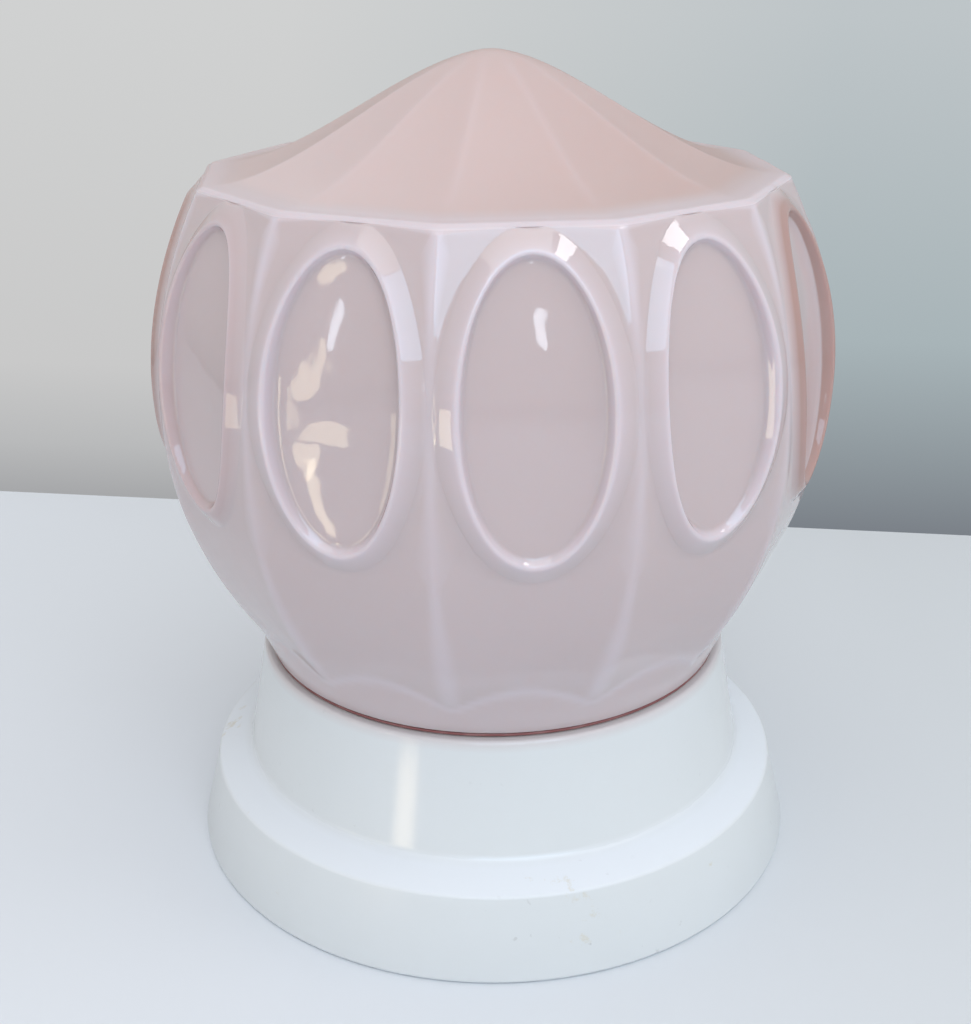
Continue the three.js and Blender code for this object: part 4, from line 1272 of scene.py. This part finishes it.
@dataclass
class Bulb:
    """Clear screw-cap bulb with its mount and coiled filament."""

    level: float = 24.5
    length: float = 98
    radius: float = 27.5
    neck: float = 12.2
    waist: float = 36
    wall: float = 0.7
    cap: float = 13.05
    cap_wall: float = 0.35
    cap_length: float = 22
    cap_cone: float = 2.6
    insulator: Pair = (10.2, 2.2)
    tip: Pair = (4.6, 1.6)
    tip_drop: float = 0.9
    tip_turns: tuple[float, ...] = (0, 0.3, 0.6, 0.9, 1.2, 1.45)
    stem: float = 3.2
    stem_shares: tuple[float, ...] = (0, 0.1, 0.25, 0.4, 0.6, 0.8, 1)
    stem_length: float = 32
    button: float = 2.4
    lead: float = 0.35
    lead_spread: float = 9
    lead_length: float = 17
    coil: float = 0.45
    coil_turns: int = 46
    coil_points: int = 10
    coil_wire: float = 0.1
    gap: float = 0.3

    def __post_init__(self) -> None:
        """Works out the levels that follow from the sizes."""
        self.cap_level = self.level + self.tip[1] + self.insulator[1]
        self.cap_top = self.cap_level + self.cap_length
        self.neck_end = self.cap_top - self.cap_length / 4
        self.stem_top = self.cap_top + self.stem_length + self.button

    def pear(self, inset: float) -> list[Pair]:
        """Pear outline from the neck's end to the top, moved inwards by an inset."""
        centre = self.level + self.length - self.radius
        run, reach = self.radius + self.waist, self.neck + self.waist
        waist_level = centre - math.sqrt(run**2 - reach**2)
        lean = math.degrees(math.acos(reach / run))
        waist = arc((reach, waist_level), self.waist + inset, 180, 180 - lean, 14)
        crown = arc((0, centre), self.radius - inset, -lean, 90, 30)
        neck, top = (self.neck - inset, self.neck_end), (0, centre + self.radius - inset)
        return [neck, *waist[:-1], *crown[:-1], top]

    def build(self, glass: Material, cap_metal: Material, dark: Material, wire: Material) -> None:
        """Makes the envelope, cap, mount, leads and filament."""
        envelope = turned("bulb_envelope", [*self.pear(0), *reversed(self.pear(self.wall))], 96)
        envelope.finish(Body.BULB, glass, Slot.BULB_CLEAR, 60, "bulb_glass")
        self.build_cap(cap_metal, dark)
        self.build_stem(glass)
        self.build_wires(wire)

    def build_cap(self, metal: Material, dark: Material) -> None:
        """Makes the screw cap, the dark glass under it and the solder tip."""
        inner, cone_top, base = self.cap - self.cap_wall, self.cap_level + self.cap_cone, self.insulator[0]
        rise = spread(cone_top, self.cap_top, 44)
        outline = [
            (base - self.cap_wall, self.cap_level),
            (base, self.cap_level),
            *((self.cap, z) for z in rise),
            *((inner, z) for z in reversed(rise)),
            (base - self.cap_wall, self.cap_level + self.cap_wall * 2),
        ]
        cap = Piece("bulb_cap_rolled")
        skin = cap.turn(outline, 96)
        CAP_THREAD.wind(skin, lambda r: r > inner - 0.1, cone_top, self.cap_top - 3.5)
        cap.close()
        cap.finish(Body.BULB, metal, Slot.CAP_METAL, 50, "bulb_cap")

        low, high, lip, width = self.level + self.tip[1], self.cap_level - self.gap, 0.4, self.tip[0]
        cone = [(0, low), (width + self.gap, low), *arc((base - lip, high - lip), lip, -40, 90, 5), (0, high)]
        insulator = turned("bulb_insulator_cone", cone, 80, closed=False)
        insulator.finish(Body.BULB, dark, Slot.CAP_GLASS, 40, "bulb_insulator")

        high, bevel, level, drop = low - self.gap, 0.1, self.level, self.tip_drop
        crown = [(width * math.sin(turn), level + drop * (1 - math.cos(turn))) for turn in self.tip_turns]
        solder = [*crown, (width, high - bevel), (width - bevel, high), (0, high)]
        tip = turned("bulb_tip_solder", solder, 48, closed=False)
        tip.finish(Body.BULB, metal, Slot.CAP_METAL, 50, "bulb_tip")

    def build_stem(self, glass: Material) -> None:
        """Makes the glass stem: a trumpet drawn in to a rod that ends in a button."""
        flare, top = self.neck - self.wall - self.gap, self.cap_top + self.stem_length
        widths = [blend(flare, self.stem, smooth(share, 0, 1)) for share in self.stem_shares]
        levels = [blend(self.neck_end, self.cap_top + 4, share**0.8) for share in self.stem_shares]
        outline = [
            (0, self.neck_end),
            *zip(widths, levels, strict=True),
            (self.stem / 2, top - self.button * 1.4),
            *arc((0, top), self.button, -60, 90, 14)[:-1],
            (0, top + self.button),
        ]
        stem = turned("bulb_stem_drawn", outline, 48, closed=False)
        stem.finish(Body.BULB, glass, Slot.BULB_CLEAR, 60, "bulb_stem")

    def build_wires(self, wire: Material) -> None:
        """Makes the two lead wires and the coiled filament between them."""
        root = self.stem * 0.75 + self.lead + self.gap
        foot = self.stem_top - self.lead_length
        for name, side in (("left", -1), ("right", 1)):
            lead = Piece(f"lead_wire_{name}_drawn")
            outs = [side * blend(root, self.lead_spread, share**2) for share in spread(0, 1, 14)]
            path = [Vector((x, 0, z)) for x, z in zip(outs, spread(foot, self.stem_top, 14), strict=True)]
            lead.sweep(path, self.lead, 12)
            lead.close()
            lead.finish(Body.BULB, wire, Slot.TUNGSTEN, 50, f"lead_wire_{name}")
        coil = Piece("filament_coil")
        coil.sweep(self.coil_path(), self.coil_wire, 5)
        coil.close(0.001)
        coil.finish(Body.BULB, wire, Slot.TUNGSTEN, 60, "filament")

    def coil_path(self) -> list[Vector]:
        """Centre line of the filament's fine coil, which winds along a bent and lifted run."""
        sag, radius = self.lead_spread / 3, self.coil - 0.12
        level = self.stem_top + self.coil + self.lead + self.gap
        path = []
        for i in range(self.coil_turns * self.coil_points + 1):
            share = i / self.coil_turns / self.coil_points
            angle = FULL_TURN * i / self.coil_points
            x = blend(-self.lead_spread, self.lead_spread, share)
            y = -sag * math.sin(FULL_TURN * share) * 0.9 + radius * math.cos(angle)
            z = level + sag * math.sin(math.pi * share) + radius * math.sin(angle)
            path.append(Vector((x, y, z)))
        return path


# Studio


class Reach(Enum):
    """What a lamp is seen by: the soft light, the highlights or both."""

    ALL = (True, True)
    SOFT = (True, False)
    GLOSS = (False, True)


# Points that the lamps are turned to: the middle of the shade and the dish at its left
MIDDLE = (0, 0, 90)
LEFT_DISH = (-30, -56, 110)


@dataclass(frozen=True)
class Lamp:
    """Flat lamp, with the brightness of its surface, where 1 is white."""

    name: str
    place: Triple
    size: Pair
    radiance: float
    tone: str
    aim: Triple = MIDDLE
    roll: float = 0
    reach: Reach = Reach.ALL
    spread: float = 180
    oval: bool = False


def card(
    name: str, start: Triple, end: Triple, width: float, radiance: float, tone: str, oval: bool = True
) -> Lamp:
    """Slim card that only shows as a highlight on the left of the shade.

    Args:
        name: Its name.
        start: Middle of its first end.
        end: Middle of its other end.
        width: Width across the line between them.
        radiance: Brightness of its surface.
        tone: Its colour.
        oval: Whether it is an ellipse, not a rectangle.

    Returns:
        The lamp.
    """
    first, last = Vector(start), Vector(end)
    middle = (first + last) / 2
    along = (middle - Vector(LEFT_DISH)).to_track_quat("Z", "Y").inverted() @ (first - last)
    roll = math.degrees(math.atan2(-along.x, along.y))
    place, size = tuple(middle), (width, along.length)
    return Lamp(name, place, size, radiance, tone, LEFT_DISH, roll, Reach.GLOSS, oval=oval)


def sky(
    name: str,
    turn: Pair,
    distance: float,
    size: Pair,
    radiance: float,
    tone: str,
    reach: Reach,
    oval: bool = False,
) -> Lamp:
    """Lamp that stands in a direction from the middle of the shade.

    Args:
        name: Its name.
        turn: Degrees to the right of the front and above the floor.
        distance: How far away it stands.
        size: Its width and height.
        radiance: Brightness of its surface.
        tone: Its colour.
        reach: What it is seen by.
        oval: Whether it is an ellipse, not a rectangle.

    Returns:
        The lamp.
    """
    side, rise = (math.radians(degrees) for degrees in turn)
    out = distance * math.cos(rise)
    place = (out * math.sin(side), -out * math.cos(side), MIDDLE[2] + distance * math.sin(rise))
    return Lamp(name, place, size, radiance, tone, reach=reach, oval=oval)


CREAM = "fff0cc"
LAMPS = (
    sky("window_light", (13, 37.5), 1300, (950, 580), 3.95, "ebf0f9", Reach.SOFT),
    sky("window", (13, 38.5), 1300, (950, 850), 2.9, "b8e0ff", Reach.GLOSS),
    sky("ceiling", (0, 80), 1600, (1400, 1400), 1.3, "f6f4f0", Reach.ALL),
    sky("side_window", (72, 57), 1300, (380, 200), 6.3, "fbfbff", Reach.GLOSS),
    sky("window_gap", (13.3, 12), 1300, (26, 160), 5, "e6f2ff", Reach.GLOSS, True),
    card("door_top", (-219, -196, 199), (-207, -217, 189), 9, 2.8, CREAM),
    card("door_pane", (-220, -204, 184), (-221, -211, 136), 5.5, 5, "e4f1ff"),
    card("door_middle", (-219, -215, 145), (-216, -223, 94), 8, 2.8, CREAM),
    card("door_left", (-212, -228, 104), (-211, -227, 70), 8, 2.2, CREAM, False),
    card("door_shelf", (-225, -202, 67), (-214, -221, 70), 17, 3.4, CREAM, False),
    card("door_post", (-213, -221, 60), (-211, -217, 32), 11, 3, CREAM),
    card("door_foot", (-211, -218, 46), (-212, -203, 2), 8, 3.5, CREAM),
    card("door_near", (-180, -252, 112), (-180, -252, 34), 42, 3.6, CREAM, False),
    card("door_far", (-260, -163, 84), (-256, -160, 22), 46, 2.2, CREAM, False),
    sky("side", (80, 28), 1300, (700, 700), 1.8, "f0f2f6", Reach.SOFT),
    sky("left_fill", (-75, 10), 1300, (700, 500), 0.9, "fff1e9", Reach.SOFT),
    Lamp("table_glint", (-60, -104, 14), (15, 26), 0.11, "ffe8c6", (-17, -49, 26), 0, Reach.GLOSS, spread=26),
)


@dataclass
class Studio:
    """Plain pale floor, backdrop, camera and soft lamps."""

    focal_pixels: float = 1416.21
    frame_height: float = 1024
    sensor: float = 36
    distance: float = 293.44
    elevation: float = 19.06
    target: Triple = (-1.5, 0, 69.7)
    roll: float = -0.33
    table_size: Pair = (6000, 6000)
    wall_size: Pair = (3200, 3000)
    wall_place: Triple = (0, 165, 400)
    wall_turn: float = -7.3
    air_tone: str = "f0efee"
    air_strength: float = 0.7

    def camera(self) -> None:
        """Stands the camera where the photograph was taken."""
        eye = put("camera", bpy.data.cameras.new("camera"))
        eye.data.sensor_width = self.sensor
        eye.data.lens = self.focal_pixels * self.sensor / self.frame_height
        eye.data.clip_start = 0.01
        rise = math.radians(self.elevation)
        place = Vector(MIDDLE) + self.distance * Vector((0, -math.cos(rise), math.sin(rise)))
        turn = (Vector(self.target) - place).to_track_quat("-Z", "Y").to_matrix().to_4x4()
        roll = Matrix.Rotation(math.radians(self.roll), 4, "Z")
        eye.matrix_world = Matrix.Translation(place * MM) @ turn @ roll
        bpy.context.scene.camera = eye

    def plane(self, name: str, size: Pair, place: Matrix, surface: Material) -> bpy.types.Object:
        """Lays a flat sheet of the studio, which isn't part of the lamp."""
        sheet = Piece(name)
        bmesh.ops.create_grid(sheet.mesh, x_segments=1, y_segments=1, size=0.5)
        spot = Matrix.Scale(MM, 4) @ place @ Matrix.Diagonal((*size, 1, 1))
        bmesh.ops.transform(sheet.mesh, matrix=spot, verts=sheet.mesh.verts)
        made = sheet.loose_object()
        made.data.materials.append(surface)
        return made

    def table_paint(self) -> Material:
        """Pale blue-white table top, with painted shade that darkens it to the right."""
        pad = NodePad("table_paint")
        near = pad.tint(pad.noise(5), "dbe1e8", "d6dce3")
        # Painted shade: darker to the right
        pad.set(Base_Color=pad.tint(pad.level((-0.04, 0.12), axis="X"), near, "cbd1d6"), Roughness=0.5)
        return pad.material

    def wall_paint(self) -> Material:
        """Pale wall with painted shade that darkens it to the right and towards the table; it glows in that
        paint for camera, glossy and transmission rays, and is seen from the front only.
        """
        pad = NodePad("wall_paint")
        rise = pad.level((0, 0.16))
        # Painted shade: darker towards the table and to the right
        left = pad.ramp(rise, ((0, "a6a7a9"), (1, "d0d1d1"), (0.12, "b9babb"), (0.3, "c9c9c9")))
        right = pad.ramp(rise, ((0, "7b8188"), (1, "bec5c8"), (0.4, "a8b4b8")))
        paint = pad.tint(pad.level((-0.06, 0.1), axis="X"), left, right)
        pad.set(Base_Color=paint, Roughness=0.9)
        # The wall glows in its painted shade for camera, glossy and transmission rays
        painted_shade_glow = pad.node("Emission", Color=paint)
        clear = pad.node("BsdfTransparent")
        rays = pad.node("LightPath").outputs
        seen = pad.more(pad.more(rays["Is Camera Ray"], rays["Is Glossy Ray"]), rays["Is Transmission Ray"])
        front = pad.shuffle(seen, pad.shader.outputs["BSDF"], painted_shade_glow.outputs["Emission"])
        whole = pad.shuffle(pad.node("NewGeometry").outputs["Backfacing"], front, clear.outputs["BSDF"])
        pad.give(pad.tree.nodes["Material Output"].inputs["Surface"], whole)
        return pad.material

    def hang(self, lamp: Lamp) -> None:
        """Hangs a rectangular or oval lamp."""
        data = bpy.data.lights.new(lamp.name, "AREA")
        data.shape = "ELLIPSE" if lamp.oval else "RECTANGLE"
        data.size, data.size_y = (side * MM for side in lamp.size)
        data.color = colour(lamp.tone)[:3]
        data.energy = lamp.radiance * math.pi * data.size * data.size_y
        data.spread = math.radians(lamp.spread)
        made = put(lamp.name, data)
        place = Vector(lamp.place)
        facing = (place - Vector(lamp.aim)).to_track_quat("Z", "Y").to_matrix().to_4x4()
        roll = Matrix.Rotation(math.radians(lamp.roll), 4, "Z")
        made.matrix_world = Matrix.Translation(place * MM) @ facing @ roll
        made.visible_camera = False
        made.visible_diffuse, made.visible_glossy = lamp.reach.value

    def build(self) -> None:
        """Makes the whole studio."""
        scene = bpy.context.scene
        scene.view_settings.view_transform = "Standard"
        world = bpy.data.worlds.new("studio_air")
        world.use_nodes = True
        air = world.node_tree.nodes["Background"]
        air.inputs["Color"].default_value = colour(self.air_tone)
        air.inputs["Strength"].default_value = self.air_strength
        scene.world = world
        self.camera()
        self.plane("table", self.table_size, Matrix.Identity(4), self.table_paint())
        turn = Matrix.Rotation(math.radians(self.wall_turn), 4, "Z")
        upright = Matrix.Rotation(math.radians(90), 4, "X")
        spot = Matrix.Translation(self.wall_place) @ (turn @ upright)
        wall = self.plane("wall", self.wall_size, spot, self.wall_paint())
        wall.visible_diffuse = wall.visible_shadow = False
        for lamp in LAMPS:
            self.hang(lamp)


# The model's own solids that stay in view
BRASS_NODES = ("live_strip", "neutral_strip", "centre_contact", "live_terminal", "neutral_terminal")
STEEL_NODES = (
    *("live_clamp_screw", "neutral_clamp_screw"),
    *("holder_screw_front", "holder_screw_rear", "holder_nut_front", "holder_nut_rear"),
)


def dress_nodes(surfaces: dict[str, Material]) -> None:
    """Gives the model's own solids that stay in view their finishes.

    Args:
        surfaces: Finish for each node's name.
    """
    for name, surface in surfaces.items():
        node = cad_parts[name]
        node.data.materials.clear()
        node.data.materials.append(surface)
        log.info("%s: model solid, %s", name, surface.name)


def main() -> None:
    """Builds the lamp piece by piece, then the studio."""
    logging.basicConfig(level=logging.INFO, format="%(name)s: %(message)s")
    brass = Metal("brass", "c9a863", "a3854a", (0.22, 0.42), (40, 40, 900)).make()
    steel = Metal("zinc_steel", "c4c6c9", "9fa2a6", (0.25, 0.45), (300, 300, 300)).make()
    cap_metal = Metal("rolled_aluminium", "d2d3d5", "b4b5b8", (0.2, 0.38), (30, 30, 700)).make()
    wire = Metal("dark_wire", "6d6a67", "4b4947", (0.35, 0.55), (900, 900, 900)).make()
    seal_rubber = Rubber("seal_rubber", "82504f", "a07c7a").make()
    inlet_rubber = Rubber("inlet_rubber", "232325", "4a4a4b").make()
    LampBase().build(MouldedPlastic().make(), seal_rubber, inlet_rubber)
    GlassShade().build(OpalGlass().make())
    Lampholder().build(GlazedPorcelain().make(), brass)
    Bulb().build(ClearGlass().make(), cap_metal, BlackGlass().make(), wire)
    dress_nodes({**dict.fromkeys(BRASS_NODES, brass), **dict.fromkeys(STEEL_NODES, steel)})
    Studio().build()


if __name__ == "__main__":
    main()
